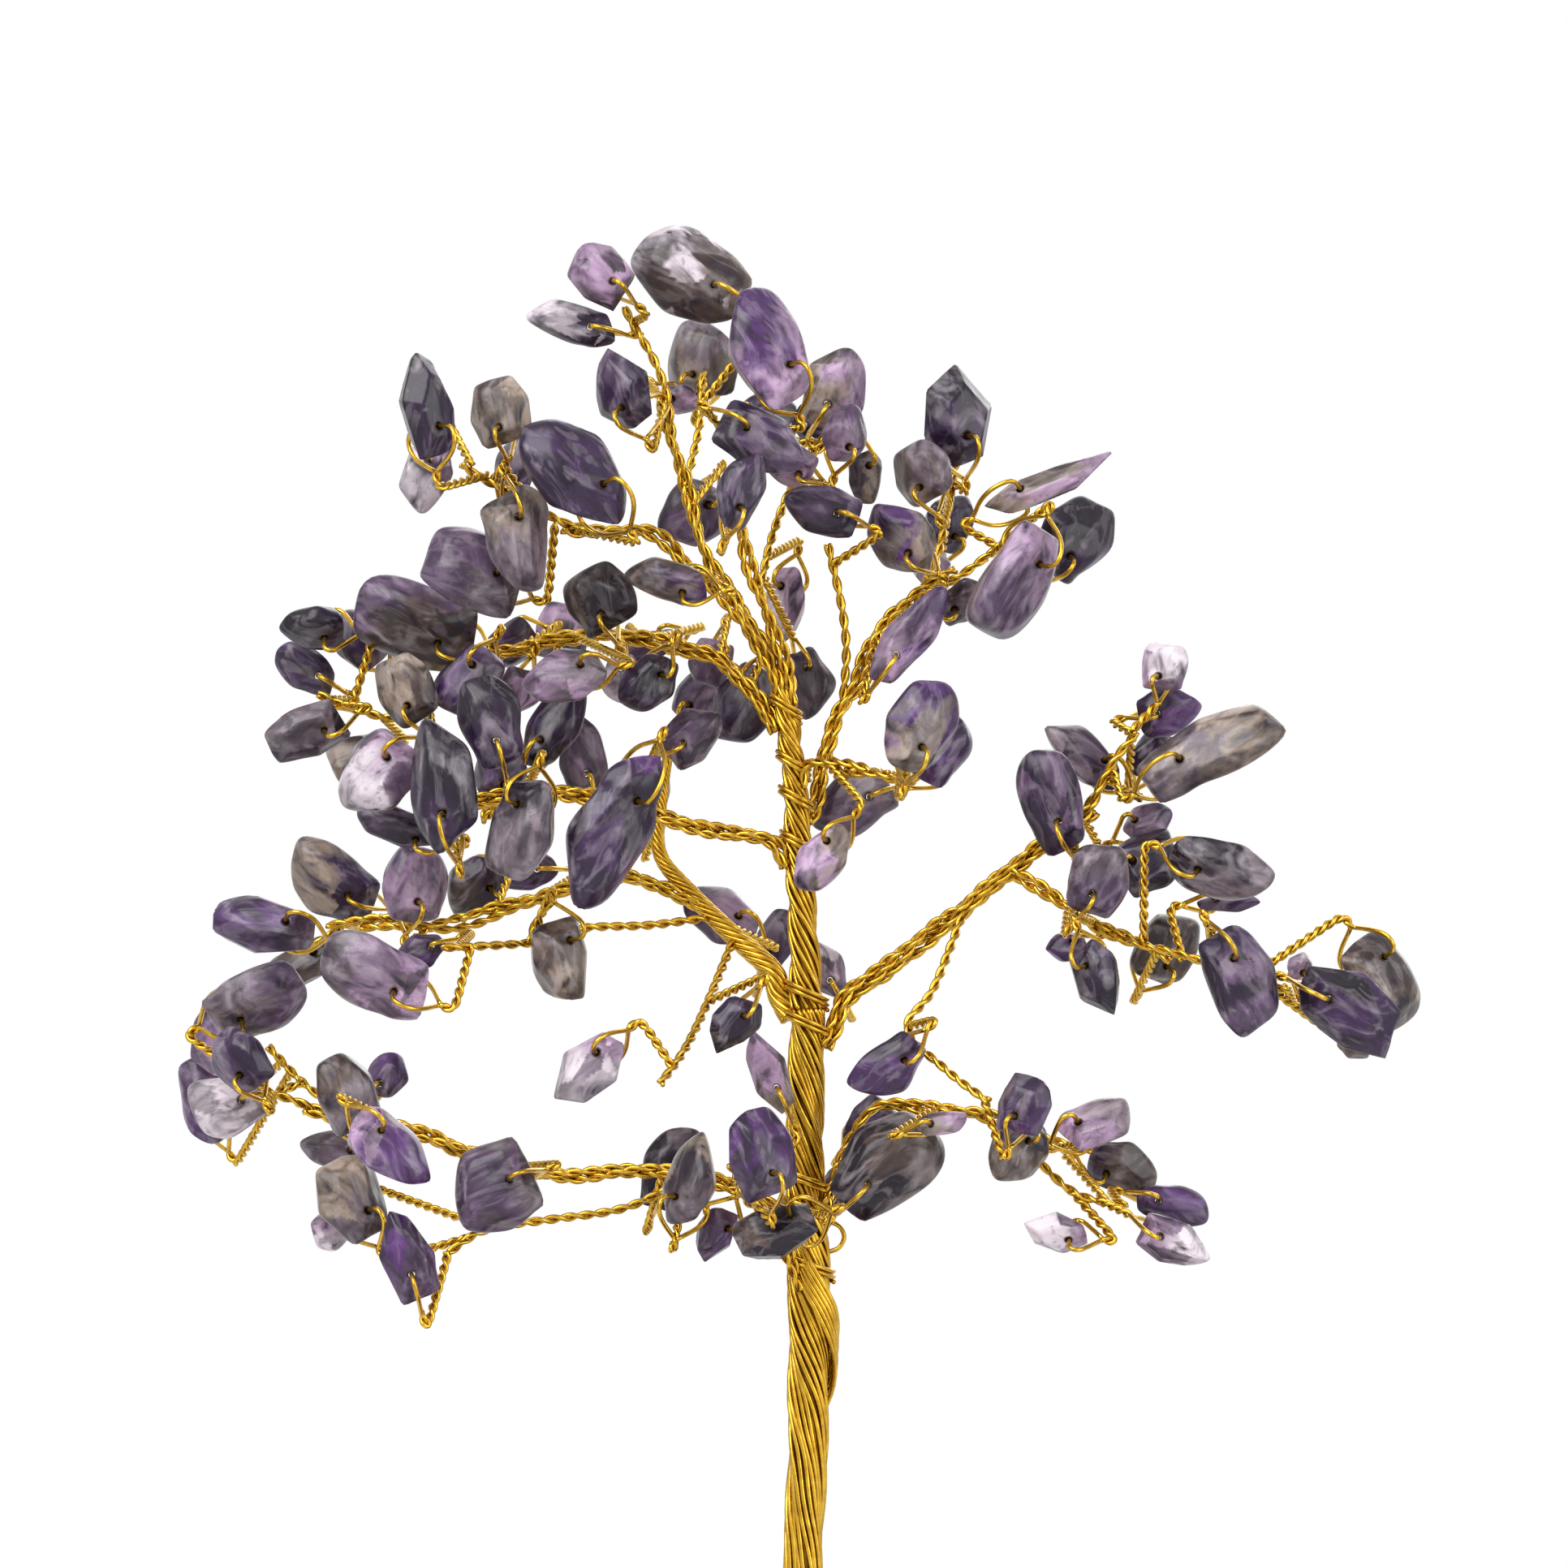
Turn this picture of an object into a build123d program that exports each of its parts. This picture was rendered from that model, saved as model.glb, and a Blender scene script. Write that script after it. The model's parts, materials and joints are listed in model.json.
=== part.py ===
from build123d import *
import math
import os
from typing import NamedTuple

import numpy as np

# A small tree of drilled amethyst and smoky quartz chips on twisted gold-coloured wire, on a round base.
# Millimetres, +Z up. The origin is the middle of the base's underside, below the foot of the trunk.
# The front of the tree faces -Y, so a front view shows +X to the right.

# Driving sizes of the crown
CROWN_WIDTH = 152.8
BRANCH_REACH = 26.0
LAYER_DEPTH = 9.0
CHIP_SIZE = 10.0
CHIP_GAP = 0.9
HOLE_WIDTH = 1.3

# Driving sizes of the wire
WIRE_DIAMETER = 0.6
LIMB_DIAMETER = 2.0
TWIG_DIAMETER = 1.2
LOOP_REACH = 1.5
LOOP_PLAY = 0.2
TWIG_STUB = 2.0
TWIG_DEPTH = 19.0
ROOT_STEP = 1.5
EYE_DIAMETER = 2.2

# Driving sizes of the trunk, the wraps round it and the base
TRUNK_DIAMETER = 5.2
TRUNK_FOOT = 24.0
SOCKET_DEPTH = 9.0
SOCKET_PLAY = 0.15
LAY_PITCH = 50.0
UPPER_LAY_PITCH = 21.0
WRAP_PLAY = 0.3
WRAP_PITCH = 1.25
BASE_DIAMETER = 82.0
BASE_THICKNESS = 14.0
BASE_CHAMFER = 2.0

# Counts and angles
WIRE_SIDES = 4
STRAND_SIDES = 3
LIMB_SIDES = 6
LOWER_STRANDS = 14
UPPER_STRANDS = 10
LOWER_RINGS = 16
UPPER_RINGS = 12
WRAP_TURNS = 2
WRAP_STEPS = 8
CORE_SIDES = 10
EYE_STEPS = 8
BRANCH_SWING = math.radians(7.0)
BEND_LIMIT = math.radians(60.0)
ROLLS = [math.radians(degrees) for degrees in (8, -26, 34, -12, 20, -38, 2, 28, -20)]

# Crossings of two directions that are shorter than this are nearly in line
SIDE_LIMIT = 0.3

# How the chips find room in depth: rounds, points along a spine, and shares of a shortage made up per round
SPREAD_ROUNDS = 400
SPINE_POINTS = 5
TWIG_CLEAR_SHARE = 0.25
CHIP_PUSH_SHARE = 0.3
LIMB_PUSH_SHARE = 0.6
TWIG_PUSH_SHARE = 0.12
TWIG_BACK_SHARE = 0.08
SETTLED_SHARE = 0.005

# A side counts as flat when its corners leave its plane by less than this share of a wire's radius
FLAT_SHARE = 1e-7

# The core lies inside the strands by this share of a wire's thickness
CORE_INSET_SHARE = 1.8

# Proportions of a chip: its outlines run from the drilled end at -1 to the free end at +1
THICK_SHARE = 0.64
FLOOR_SHARE = 0.56
ROOF_SHARE = 0.62
GIRDLE_SHARE = 0.06
HOLE_SHARE = 0.42
CAP_SHIFT_SHARE = 0.06
OUTLINE_SHARES = {
    "leaf": ((-1, -0.30), (-0.85, 0.55), (0.10, 1), (1, 0.15), (0.55, -0.75), (-0.35, -1)),
    "wedge": ((-1, -0.55), (-0.95, 0.60), (0.20, 1), (1, 0.80), (0.90, -0.50), (0.00, -1)),
    "block": ((-1, -0.70), (-0.80, 0.90), (0.30, 1), (1, 0.55), (0.95, -0.75), (-0.10, -1)),
    "shard": ((-1, -0.45), (-0.70, 0.80), (0.35, 1), (1, -0.10), (0.30, -0.70), (-0.50, -1)),
    "tooth": ((-1, -0.60), (-0.90, 0.85), (-0.10, 1), (0.75, 0.40), (1, -0.25), (0.10, -1)),
}

# Places read off the front view, in its pixels: the crown's edges, the trunk's foot and the trunk's route
CROWN_LEFT_PX = 213
CROWN_RIGHT_PX = 1741
TRUNK_PX = 990
FOOT_PX = 1932
TRUNK_ROUTE_PX = [(990, 1932), (996, 1750), (999, 1610), (992, 1490), (992, 1400), (995, 1250),
                  (990, 1150), (984, 1040), (980, 960), (969, 880), (964, 842)]
TRUNK_GIRTH_SHARES = [1.0, 1.0, 1.12, 0.98, 0.95, 0.88, 0.76, 0.70, 0.64, 0.58, 0.54]
STRAND_SPLIT_PX = 1243
EYE_PX = (1031, 1524)


class Limb(NamedTuple):
    """One bundle of wires: the branch it moves with, what it grows from, its route, reach and girth."""

    branch: str
    parent: str
    reach_share: float
    girth_share: float
    route_px: tuple


# A negative reach comes forward. A limb whose parent is the trunk starts at its wrap or at the trunk's top.
LIMBS = {
    "low_left": Limb("low_left", "trunk", -0.25, 0.95, (
        (985, 1490), (900, 1462), (800, 1440), (690, 1448), (590, 1425),
        (500, 1390), (400, 1372), (335, 1345))),
    "low_left_under": Limb("low_left", "low_left", -0.55, 0.70, (
        (850, 1452), (770, 1487), (680, 1500), (600, 1512), (550, 1543))),
    "low_left_up": Limb("low_left", "low_left", 0.10, 0.65, (
        (430, 1374), (370, 1330), (330, 1290))),
    "low_right": Limb("low_right", "trunk", -0.35, 0.85, (
        (998, 1455), (1040, 1425), (1075, 1368), (1130, 1362), (1215, 1375), (1300, 1400), (1345, 1412))),
    "low_right_under": Limb("low_right", "low_right", -0.60, 0.65, (
        (1240, 1382), (1290, 1440), (1330, 1470), (1385, 1480))),
    "low_front": Limb("low_front", "trunk", -0.75, 0.75, (
        (990, 1560), (955, 1500), (915, 1462), (905, 1425))),
    "mid_left": Limb("mid_left", "trunk", 0.35, 1.70, (
        (993, 1225), (950, 1195), (900, 1150), (850, 1100), (812, 1050), (815, 980), (826, 910))),
    "mid_left_spray": Limb("mid_left", "mid_left", 0.30, 0.95, (
        (862, 1112), (780, 1082), (700, 1095), (620, 1120), (540, 1143), (470, 1137), (400, 1140))),
    "mid_left_thin": Limb("mid_left", "mid_left", -0.70, 0.70, (
        (880, 1130), (800, 1140), (720, 1143), (660, 1160), (550, 1166))),
    "mid_left_drop": Limb("mid_left", "mid_left", -0.95, 0.65, (
        (905, 1155), (872, 1235), (845, 1290), (816, 1330))),
    "inner_left": Limb("inner_left", "trunk", -0.45, 1.00, (
        (984, 1040), (930, 1030), (880, 1025), (815, 1008), (740, 985), (660, 975),
        (590, 985), (530, 990))),
    "upper_left": Limb("upper_left", "trunk", 0.45, 1.05, (
        (968, 872), (915, 840), (870, 806), (780, 786), (700, 785), (610, 805), (530, 815), (460, 825))),
    "upper_left_far": Limb("upper_left", "upper_left", 0.20, 0.65, (
        (560, 811), (500, 880), (440, 875), (390, 855))),
    "left_top": Limb("trunk", "trunk", -0.55, 0.85, (
        (955, 842), (943, 808), (890, 735), (850, 700), (800, 658), (700, 652), (630, 605), (575, 572))),
    "top_leader": Limb("trunk", "trunk", 0.10, 0.90, (
        (964, 842), (957, 818), (930, 775), (880, 700), (848, 610), (828, 545), (815, 480),
        (800, 430), (775, 375))),
    "top_leader_fork": Limb("trunk", "top_leader", 0.55, 0.65, (
        (845, 600), (862, 520), (866, 455))),
    "top_centre": Limb("trunk", "trunk", -0.35, 0.85, (
        (973, 842), (967, 812), (950, 765), (925, 700), (915, 630), (915, 500))),
    "top_centre_back": Limb("trunk", "top_centre", 0.55, 0.65, (
        (935, 728), (955, 650), (985, 580), (1020, 530))),
    "right_leader": Limb("right_leader", "trunk", 0.55, 0.95, (
        (982, 985), (1030, 885), (1052, 845), (1078, 790), (1112, 748), (1185, 702), (1270, 660))),
    "right_leader_thin": Limb("right_leader", "right_leader", 0.15, 0.65, (
        (1038, 870), (1043, 800), (1036, 740), (1020, 670))),
    "right_leader_up": Limb("right_leader", "right_leader", 0.80, 0.65, (
        (1145, 727), (1165, 650), (1180, 570))),
    "right_small": Limb("right_small", "trunk", -0.55, 0.75, (
        (981, 942), (1040, 945), (1098, 958), (1120, 945))),
    "right_big": Limb("right_big", "trunk", -0.10, 1.15, (
        (996, 1262), (1045, 1225), (1100, 1188), (1160, 1140), (1230, 1085),
        (1300, 1030), (1350, 992), (1395, 900))),
    "right_big_far": Limb("right_big", "right_big", -0.55, 0.80, (
        (1245, 1073), (1310, 1112), (1370, 1150), (1480, 1190), (1585, 1215))),
    "right_big_drop": Limb("right_big", "right_big", -1.00, 0.65, (
        (1190, 1116), (1150, 1215), (1117, 1265), (1165, 1315), (1215, 1352))),
}


class Chip(NamedTuple):
    """One chip: its middle in pixels, lean of its long axis, length, width, depth layer and outline."""

    x_px: int
    y_px: int
    lean: float
    long_share: float
    wide_share: float
    layer: float
    outline: str


# Lean is in degrees from +X towards +Z. Layers count forward as negative and backward as positive.
CHIPS = {
    "low_left": (
        Chip(612, 1460, 20, 1.05, 0.95, -1.0, "block"), Chip(487, 1412, 134, 1.20, 0.66, -1.3, "tooth"),
        Chip(430, 1345, 105, 1.00, 0.70, -0.3, "block"), Chip(476, 1326, 60, 0.60, 0.45, 1.0, "leaf"),
        Chip(412, 1420, 170, 0.90, 0.45, 1.0, "leaf"), Chip(853, 1450, 75, 1.20, 0.68, -1.5, "leaf"),
        Chip(825, 1440, 70, 1.10, 0.60, 1.0, "wedge")),
    "low_left_under": (
        Chip(435, 1475, 120, 1.05, 0.80, 0.3, "wedge"), Chip(408, 1512, 60, 0.60, 0.45, 1.3, "leaf")),
    "low_left_up": (
        Chip(282, 1362, 15, 0.90, 0.68, -0.4, "wedge"), Chip(300, 1302, 120, 0.85, 0.64, -1.0, "tooth"),
        Chip(318, 1232, 25, 1.25, 0.82, 0.5, "block"), Chip(262, 1285, 105, 0.85, 0.66, 1.0, "leaf"),
        Chip(245, 1360, 115, 1.10, 0.58, 1.5, "shard")),
    "low_right": (
        Chip(1348, 1382, 25, 0.92, 0.60, -0.5, "shard"),
        Chip(1090, 1433, 45, 1.45, 0.95, -1.0, "wedge"), Chip(1072, 1388, 50, 0.70, 0.55, 1.7, "block"),
        Chip(1158, 1380, 15, 0.65, 0.28, -1.0, "shard"), Chip(1030, 1472, 60, 0.75, 0.42, 0.7, "leaf"),
        Chip(1252, 1416, 80, 0.76, 0.68, -1.0, "block")),
    "low_right_under": (
        Chip(1383, 1438, 165, 0.88, 0.65, 1.0, "wedge"), Chip(1443, 1483, 165, 0.92, 0.46, 1.0, "leaf")),
    "low_front": (
        Chip(938, 1415, 100, 1.15, 0.88, -1.0, "block"), Chip(880, 1520, 60, 0.72, 0.58, 0.0, "tooth"),
        Chip(947, 1318, 115, 1.12, 0.50, 0.5, "leaf")),
    "mid_left": (
        Chip(885, 1128, 150, 1.05, 0.65, 1.5, "leaf"), Chip(956, 1160, 70, 0.80, 0.48, 2.1, "leaf"),
        Chip(855, 905, 30, 0.80, 0.58, -0.5, "tooth"), Chip(862, 860, 60, 0.65, 0.58, 0.5, "block"),
        Chip(806, 985, 80, 0.90, 0.32, 1.2, "leaf")),
    "mid_left_spray": (
        Chip(405, 1088, 155, 1.22, 0.80, 0.8, "wedge"), Chip(510, 1090, 80, 0.95, 0.72, -1.0, "block"),
        Chip(580, 1096, 40, 0.78, 0.66, 1.0, "tooth"), Chip(640, 1072, 0, 0.90, 0.46, 1.5, "leaf"),
        Chip(360, 1195, 30, 1.18, 0.48, 1.6, "shard")),
    "mid_left_thin": (
        Chip(468, 1198, 155, 1.42, 0.80, -0.5, "block"),
        Chip(520, 1172, 20, 0.64, 0.38, 1.5, "leaf")),
    "mid_left_drop": (),
    "inner_left": (
        Chip(757, 1020, 62, 2.10, 0.88, -1.0, "leaf"), Chip(648, 1020, 75, 1.26, 0.75, -0.6, "wedge"),
        Chip(550, 966, 102, 1.65, 0.76, -1.5, "shard"), Chip(470, 955, 40, 1.12, 0.82, -1.0, "tooth"),
        Chip(495, 1018, 165, 1.12, 0.50, 0.5, "leaf"), Chip(610, 890, 105, 1.15, 0.68, -0.5, "wedge"),
        Chip(618, 950, 70, 0.68, 0.60, 0.5, "block"), Chip(685, 893, 60, 1.22, 0.57, 0.8, "leaf"),
        Chip(714, 930, 105, 1.15, 0.52, 1.0, "shard")),
    "upper_left": (
        Chip(512, 768, 160, 1.60, 0.92, -1.0, "block"), Chip(440, 784, 130, 0.78, 0.64, 0.5, "tooth"),
        Chip(741, 738, 110, 0.85, 0.77, -1.0, "block"), Chip(580, 840, 60, 0.92, 0.70, -0.9, "wedge"),
        Chip(625, 790, 20, 0.70, 0.60, 1.0, "tooth"), Chip(690, 778, 70, 0.74, 0.60, 1.6, "block"),
        Chip(697, 834, 10, 1.05, 0.64, -1.0, "leaf"), Chip(640, 852, 70, 0.60, 0.50, -0.6, "tooth"),
        Chip(762, 834, 80, 0.62, 0.42, 1.0, "leaf"), Chip(800, 842, 60, 0.78, 0.60, -0.9, "wedge"),
        Chip(798, 794, 20, 0.78, 0.38, 1.5, "leaf"), Chip(875, 815, 70, 0.58, 0.48, 1.0, "block"),
        Chip(918, 868, 70, 1.02, 0.72, 0.5, "wedge")),
    "upper_left_far": (
        Chip(383, 771, 170, 0.82, 0.58, 0.0, "tooth"), Chip(372, 823, 150, 0.85, 0.48, 1.0, "wedge"),
        Chip(434, 936, 20, 0.66, 0.55, 1.0, "block"), Chip(502, 850, 115, 0.88, 0.66, -1.0, "block")),
    "left_top": (
        Chip(527, 588, 75, 0.92, 0.53, 1.0, "shard"), Chip(637, 572, 70, 0.76, 0.50, 1.0, "tooth"),
        Chip(712, 586, 132, 1.65, 0.90, -1.0, "leaf"), Chip(645, 668, 105, 1.30, 0.76, -0.5, "shard"),
        Chip(586, 705, 155, 1.28, 0.84, 0.5, "block"), Chip(822, 717, 170, 1.05, 0.54, -1.0, "shard")),
    "top_leader": (
        Chip(704, 397, 168, 1.14, 0.43, 0.0, "shard"), Chip(838, 488, 150, 0.48, 0.36, 1.0, "leaf"),
        Chip(855, 632, 60, 0.85, 0.75, 1.0, "block")),
    "top_leader_fork": (
        Chip(850, 338, 150, 1.50, 0.94, -0.5, "wedge"), Chip(868, 438, 80, 0.98, 0.85, 0.5, "block")),
    "top_centre": (
        Chip(945, 432, 115, 1.52, 0.90, -0.6, "wedge"), Chip(939, 548, 148, 1.18, 0.66, -1.0, "tooth"),
        Chip(913, 608, 72, 0.98, 0.51, -1.5, "leaf"), Chip(945, 510, 30, 0.70, 0.55, 0.5, "block")),
    "top_centre_back": (
        Chip(1030, 476, 60, 1.05, 0.74, 0.0, "tooth"), Chip(1042, 533, 75, 0.75, 0.54, -0.5, "leaf"),
        Chip(976, 572, 150, 0.60, 0.48, 0.0, "block"), Chip(1000, 515, 20, 0.50, 0.44, 0.5, "leaf"),
        Chip(1067, 584, 95, 0.68, 0.42, 1.0, "shard"), Chip(966, 742, 75, 0.95, 0.50, 1.0, "leaf"),
        Chip(998, 840, 110, 0.85, 0.54, 1.0, "wedge")),
    "right_leader": (
        Chip(1328, 658, 55, 1.10, 0.82, 1.0, "wedge"), Chip(1252, 716, 65, 1.48, 0.86, -1.0, "wedge"),
        Chip(1121, 782, 55, 1.45, 0.50, -1.0, "leaf"), Chip(1188, 738, 20, 0.65, 0.50, 0.5, "tooth"),
        Chip(1110, 660, 135, 1.00, 0.72, -0.5, "leaf")),
    "right_leader_thin": (
        Chip(1012, 628, 160, 0.95, 0.55, -0.5, "tooth"),),
    "right_leader_up": (
        Chip(1137, 580, 110, 0.78, 0.66, -0.5, "block"), Chip(1172, 640, 80, 0.75, 0.58, 1.0, "wedge"),
        Chip(1150, 695, 85, 0.50, 0.42, 1.0, "leaf")),
    "right_small": (
        Chip(1132, 895, 75, 1.18, 0.78, -0.5, "wedge"), Chip(1158, 923, 50, 0.92, 0.72, 1.0, "block"),
        Chip(1050, 990, 20, 1.10, 0.70, 0.8, "tooth"), Chip(1012, 1056, 52, 0.95, 0.52, -1.0, "leaf")),
    "right_big": (
        Chip(1434, 822, 80, 0.60, 0.53, 0.0, "block"),
        Chip(1442, 875, 10, 0.80, 0.53, 0.5, "tooth"), Chip(1490, 925, 30, 1.85, 0.76, -0.5, "wedge"),
        Chip(1336, 930, 143, 1.16, 0.54, 0.5, "shard"), Chip(1296, 985, 112, 1.30, 0.68, -0.5, "wedge"),
        Chip(1425, 932, 60, 0.66, 0.55, 1.0, "block"), Chip(1415, 1012, 30, 0.64, 0.46, 0.5, "leaf"),
        Chip(1015, 1196, 120, 0.76, 0.48, 1.5, "leaf")),
    "right_big_far": (
        Chip(1501, 1070, 160, 1.30, 0.71, -0.5, "tooth"),
        Chip(1413, 1062, 20, 0.78, 0.70, 0.5, "block"), Chip(1350, 1082, 60, 0.95, 0.70, -1.0, "tooth"),
        Chip(1512, 1110, 5, 0.78, 0.28, 0.5, "leaf"), Chip(1437, 1167, 60, 0.95, 0.68, 1.4, "block"),
        Chip(1522, 1204, 120, 1.28, 0.78, -1.0, "wedge"), Chip(1315, 1168, 20, 0.50, 0.35, 1.0, "leaf"),
        Chip(1700, 1208, 120, 1.20, 0.80, 0.5, "block"), Chip(1665, 1286, 150, 0.45, 0.30, 0.5, "leaf"),
        Chip(1600, 1190, 85, 0.36, 0.30, 1.0, "leaf")),
    "right_big_drop": (
        Chip(1093, 1312, 45, 0.98, 0.60, -0.3, "wedge"),),
}

# Chips that hang free at the end of their wire and swing on it, with the limb each one hangs from
SWIVELS = {
    "chip_top_left": ("top_leader", Chip(740, 339, 140, 0.84, 0.72, -0.5, "block")),
    "chip_top_dark": ("top_leader", Chip(768, 480, 115, 1.05, 0.84, -1.0, "leaf")),
    "chip_left_tall": ("left_top", Chip(531, 504, 98, 1.36, 0.74, -1.0, "tooth")),
    "chip_left_clear": ("left_top", Chip(620, 512, 100, 0.86, 0.78, -0.5, "block")),
    "chip_right_dark": ("right_leader_up", Chip(1180, 508, 98, 1.30, 0.96, -0.5, "leaf")),
    "chip_right_shard": ("right_leader", Chip(1297, 592, 25, 1.80, 0.49, 0.0, "shard")),
    "chip_far_right": ("right_big_far", Chip(1655, 1239, 155, 1.36, 0.95, -0.5, "wedge")),
    "chip_right_hanging": ("right_big_far", Chip(1350, 1204, 112, 0.98, 0.66, -1.0, "shard")),
    "chip_drop_violet": ("right_big_drop", Chip(1258, 1356, 70, 0.76, 0.68, -0.5, "block")),
    "chip_low_pale": ("low_right_under", Chip(1443, 1526, 148, 0.97, 0.60, -0.5, "tooth")),
    "chip_low_clear": ("low_right_under", Chip(1298, 1512, 170, 0.82, 0.56, -0.5, "leaf")),
    "chip_front_black": ("low_front", Chip(955, 1512, 20, 1.16, 0.85, -1.5, "wedge")),
    "chip_drop_dark": ("mid_left_drop", Chip(904, 1260, 55, 0.82, 0.62, -0.5, "shard")),
    "chip_drop_pale": ("mid_left_drop", Chip(727, 1315, 45, 1.10, 0.75, 0.0, "leaf")),
    "chip_left_hanging": ("mid_left_thin", Chip(691, 1180, 95, 1.06, 0.85, -0.5, "block")),
    "chip_low_tall": ("low_left_under", Chip(506, 1539, 105, 1.20, 0.68, -0.8, "tooth")),
    "chip_left_violet": ("mid_left_spray", Chip(320, 1142, 170, 1.34, 0.78, 0.0, "wedge")),
    "chip_far_left": ("upper_left_far", Chip(377, 901, 20, 1.03, 0.70, -0.5, "block")),
}

# Sizes that follow from the driving ones
MM_PER_PX = CROWN_WIDTH / (CROWN_RIGHT_PX - CROWN_LEFT_PX)
WIRE_RADIUS = WIRE_DIAMETER / 2
TWIG_RADIUS = TWIG_DIAMETER / 2
FOOT_LEVEL = BASE_THICKNESS + TRUNK_FOOT
LEG_OFFSET = WIRE_RADIUS + LOOP_PLAY / 4
UP = np.array([0.0, 0.0, 1.0])
BACK = np.array([0.0, 1.0, 0.0])


def unit(vector):
    """The vector at length one."""
    return vector / np.linalg.norm(vector)


def level(y_px):
    """Height of a pixel row."""
    return FOOT_LEVEL + (FOOT_PX - y_px) * MM_PER_PX


def spot(x_px, y_px, depth=0.0):
    """Place of a pixel at a given depth."""
    return np.array([(x_px - TRUNK_PX) * MM_PER_PX, depth, level(y_px)])


def flat_face(corners):
    """A flat face through the corners."""
    return Face(Wire.make_polygon([Vector(*corner) for corner in corners], close=True))


def ringed_solid(rings):
    """A solid through rings of equal count with flat ends; a side that isn't flat becomes two triangles."""
    faces = [flat_face(rings[0][::-1]), flat_face(rings[-1])]
    count = len(rings[0])
    for lower, upper in zip(rings, rings[1:]):
        for k in range(count):
            near, far = k, (k + 1) % count
            a, b, c, d = lower[near], lower[far], upper[far], upper[near]
            normal = unit(np.cross(b - a, c - a))
            if abs(np.dot(d - a, normal)) < WIRE_RADIUS * FLAT_SHARE:
                faces.append(flat_face([a, b, c, d]))
            else:
                faces.append(flat_face([a, b, c]))
                faces.append(flat_face([a, c, d]))
    return Solid(Shell(faces))


def mitred_rings(points, radii, sides, start_normal=None):
    """Rings of a polygon carried along a bent path and mitred at each bend."""
    points = [np.asarray(point, float) for point in points]
    runs = [unit(b - a) for a, b in zip(points, points[1:])]
    normals = [start_normal if start_normal is not None else runs[0]]
    normals += [unit(a + b) for a, b in zip(runs, runs[1:])]
    normals.append(runs[-1])
    side = np.cross(runs[0], BACK)
    if np.linalg.norm(side) < SIDE_LIMIT:
        side = np.cross(runs[0], UP)
    side = unit(side)
    other = np.cross(runs[0], side)
    angles = [2 * math.pi * (k + 0.5) / sides for k in range(sides)]
    offsets = np.array([side * math.cos(angle) + other * math.sin(angle) for angle in angles])
    rings = []
    along = runs[0]
    for index, (point, normal, radius) in enumerate(zip(points, normals, radii)):
        along = runs[max(index - 1, 0)]
        slid = offsets - np.outer(offsets @ normal / (along @ normal), along)
        rings.append(point + slid * radius)
        nxt = runs[min(index, len(runs) - 1)]
        offsets = slid - np.outer(slid @ nxt, nxt)
        offsets = offsets / np.linalg.norm(offsets, axis=1)[:, None]
    return rings


def tube(points, radii, sides, start_normal=None):
    """A faceted bar along a bent path, with its own radius at each point."""
    return ringed_solid(mitred_rings(points, radii, sides, start_normal))


# The trunk's middle line and radius at a height
ROUTE_LEVELS = [BASE_THICKNESS - SOCKET_DEPTH] + [level(y_px) for _, y_px in TRUNK_ROUTE_PX]
ROUTE_SIDES = [0.0] + [(x_px - TRUNK_PX) * MM_PER_PX for x_px, _ in TRUNK_ROUTE_PX]
ROUTE_GIRTHS = [TRUNK_GIRTH_SHARES[0]] + TRUNK_GIRTH_SHARES


def trunk_middle(height):
    """Middle of the trunk at a height."""
    return np.array([np.interp(height, ROUTE_LEVELS, ROUTE_SIDES), 0.0, height])


def trunk_radius(height):
    """Radius over the outer strands at a height."""
    return np.interp(height, ROUTE_LEVELS, ROUTE_GIRTHS) * TRUNK_DIAMETER / 2


def wrap_radius(height):
    """Radius from the trunk's middle to the middle of a wrap's wire."""
    return (trunk_radius(height) + WRAP_PLAY) / math.cos(math.pi / WRAP_STEPS) + WIRE_RADIUS


def strand_layer(low, high, count, rings, pitches):
    """The outer wires of one length of trunk, twisted to the left as they climb."""
    heights = np.linspace(low, high, rings)
    pitch = np.interp(heights, [low, high], pitches)
    turn = np.concatenate([[0], np.cumsum(np.diff(heights) / (pitch[1:] + pitch[:-1]) * 2)]) * 2 * math.pi
    strands = []
    for k in range(count):
        angles = 2 * math.pi * k / count - turn
        path = []
        for height, angle in zip(heights, angles):
            out = np.array([math.cos(angle), math.sin(angle), 0])
            path.append(trunk_middle(height) + out * (trunk_radius(height) - WIRE_RADIUS))
        strands.append(tube(path, [WIRE_RADIUS] * rings, STRAND_SIDES, UP))
    return strands


def trunk_core(low, high):
    """The stem inside the strands."""
    heights = [low] + [height for height in ROUTE_LEVELS if low < height < high] + [high]
    path = [trunk_middle(height) for height in heights]
    radii = [trunk_radius(height) - WIRE_DIAMETER * CORE_INSET_SHARE for height in heights]
    return tube(path, radii, CORE_SIDES, UP)


def wrap_coil(height):
    """The winding that holds a branch on the trunk, one unbroken wire."""
    steps = WRAP_TURNS * WRAP_STEPS
    path = []
    for k in range(steps + 1):
        angle = 2 * math.pi * k / WRAP_STEPS
        rise = (k / steps - 0.5) * WRAP_TURNS * WRAP_PITCH
        out = np.array([math.cos(angle), math.sin(angle), 0])
        path.append(trunk_middle(height) + out * wrap_radius(height) + UP * rise)
    return tube(path, [WIRE_RADIUS] * len(path), WIRE_SIDES)


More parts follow.
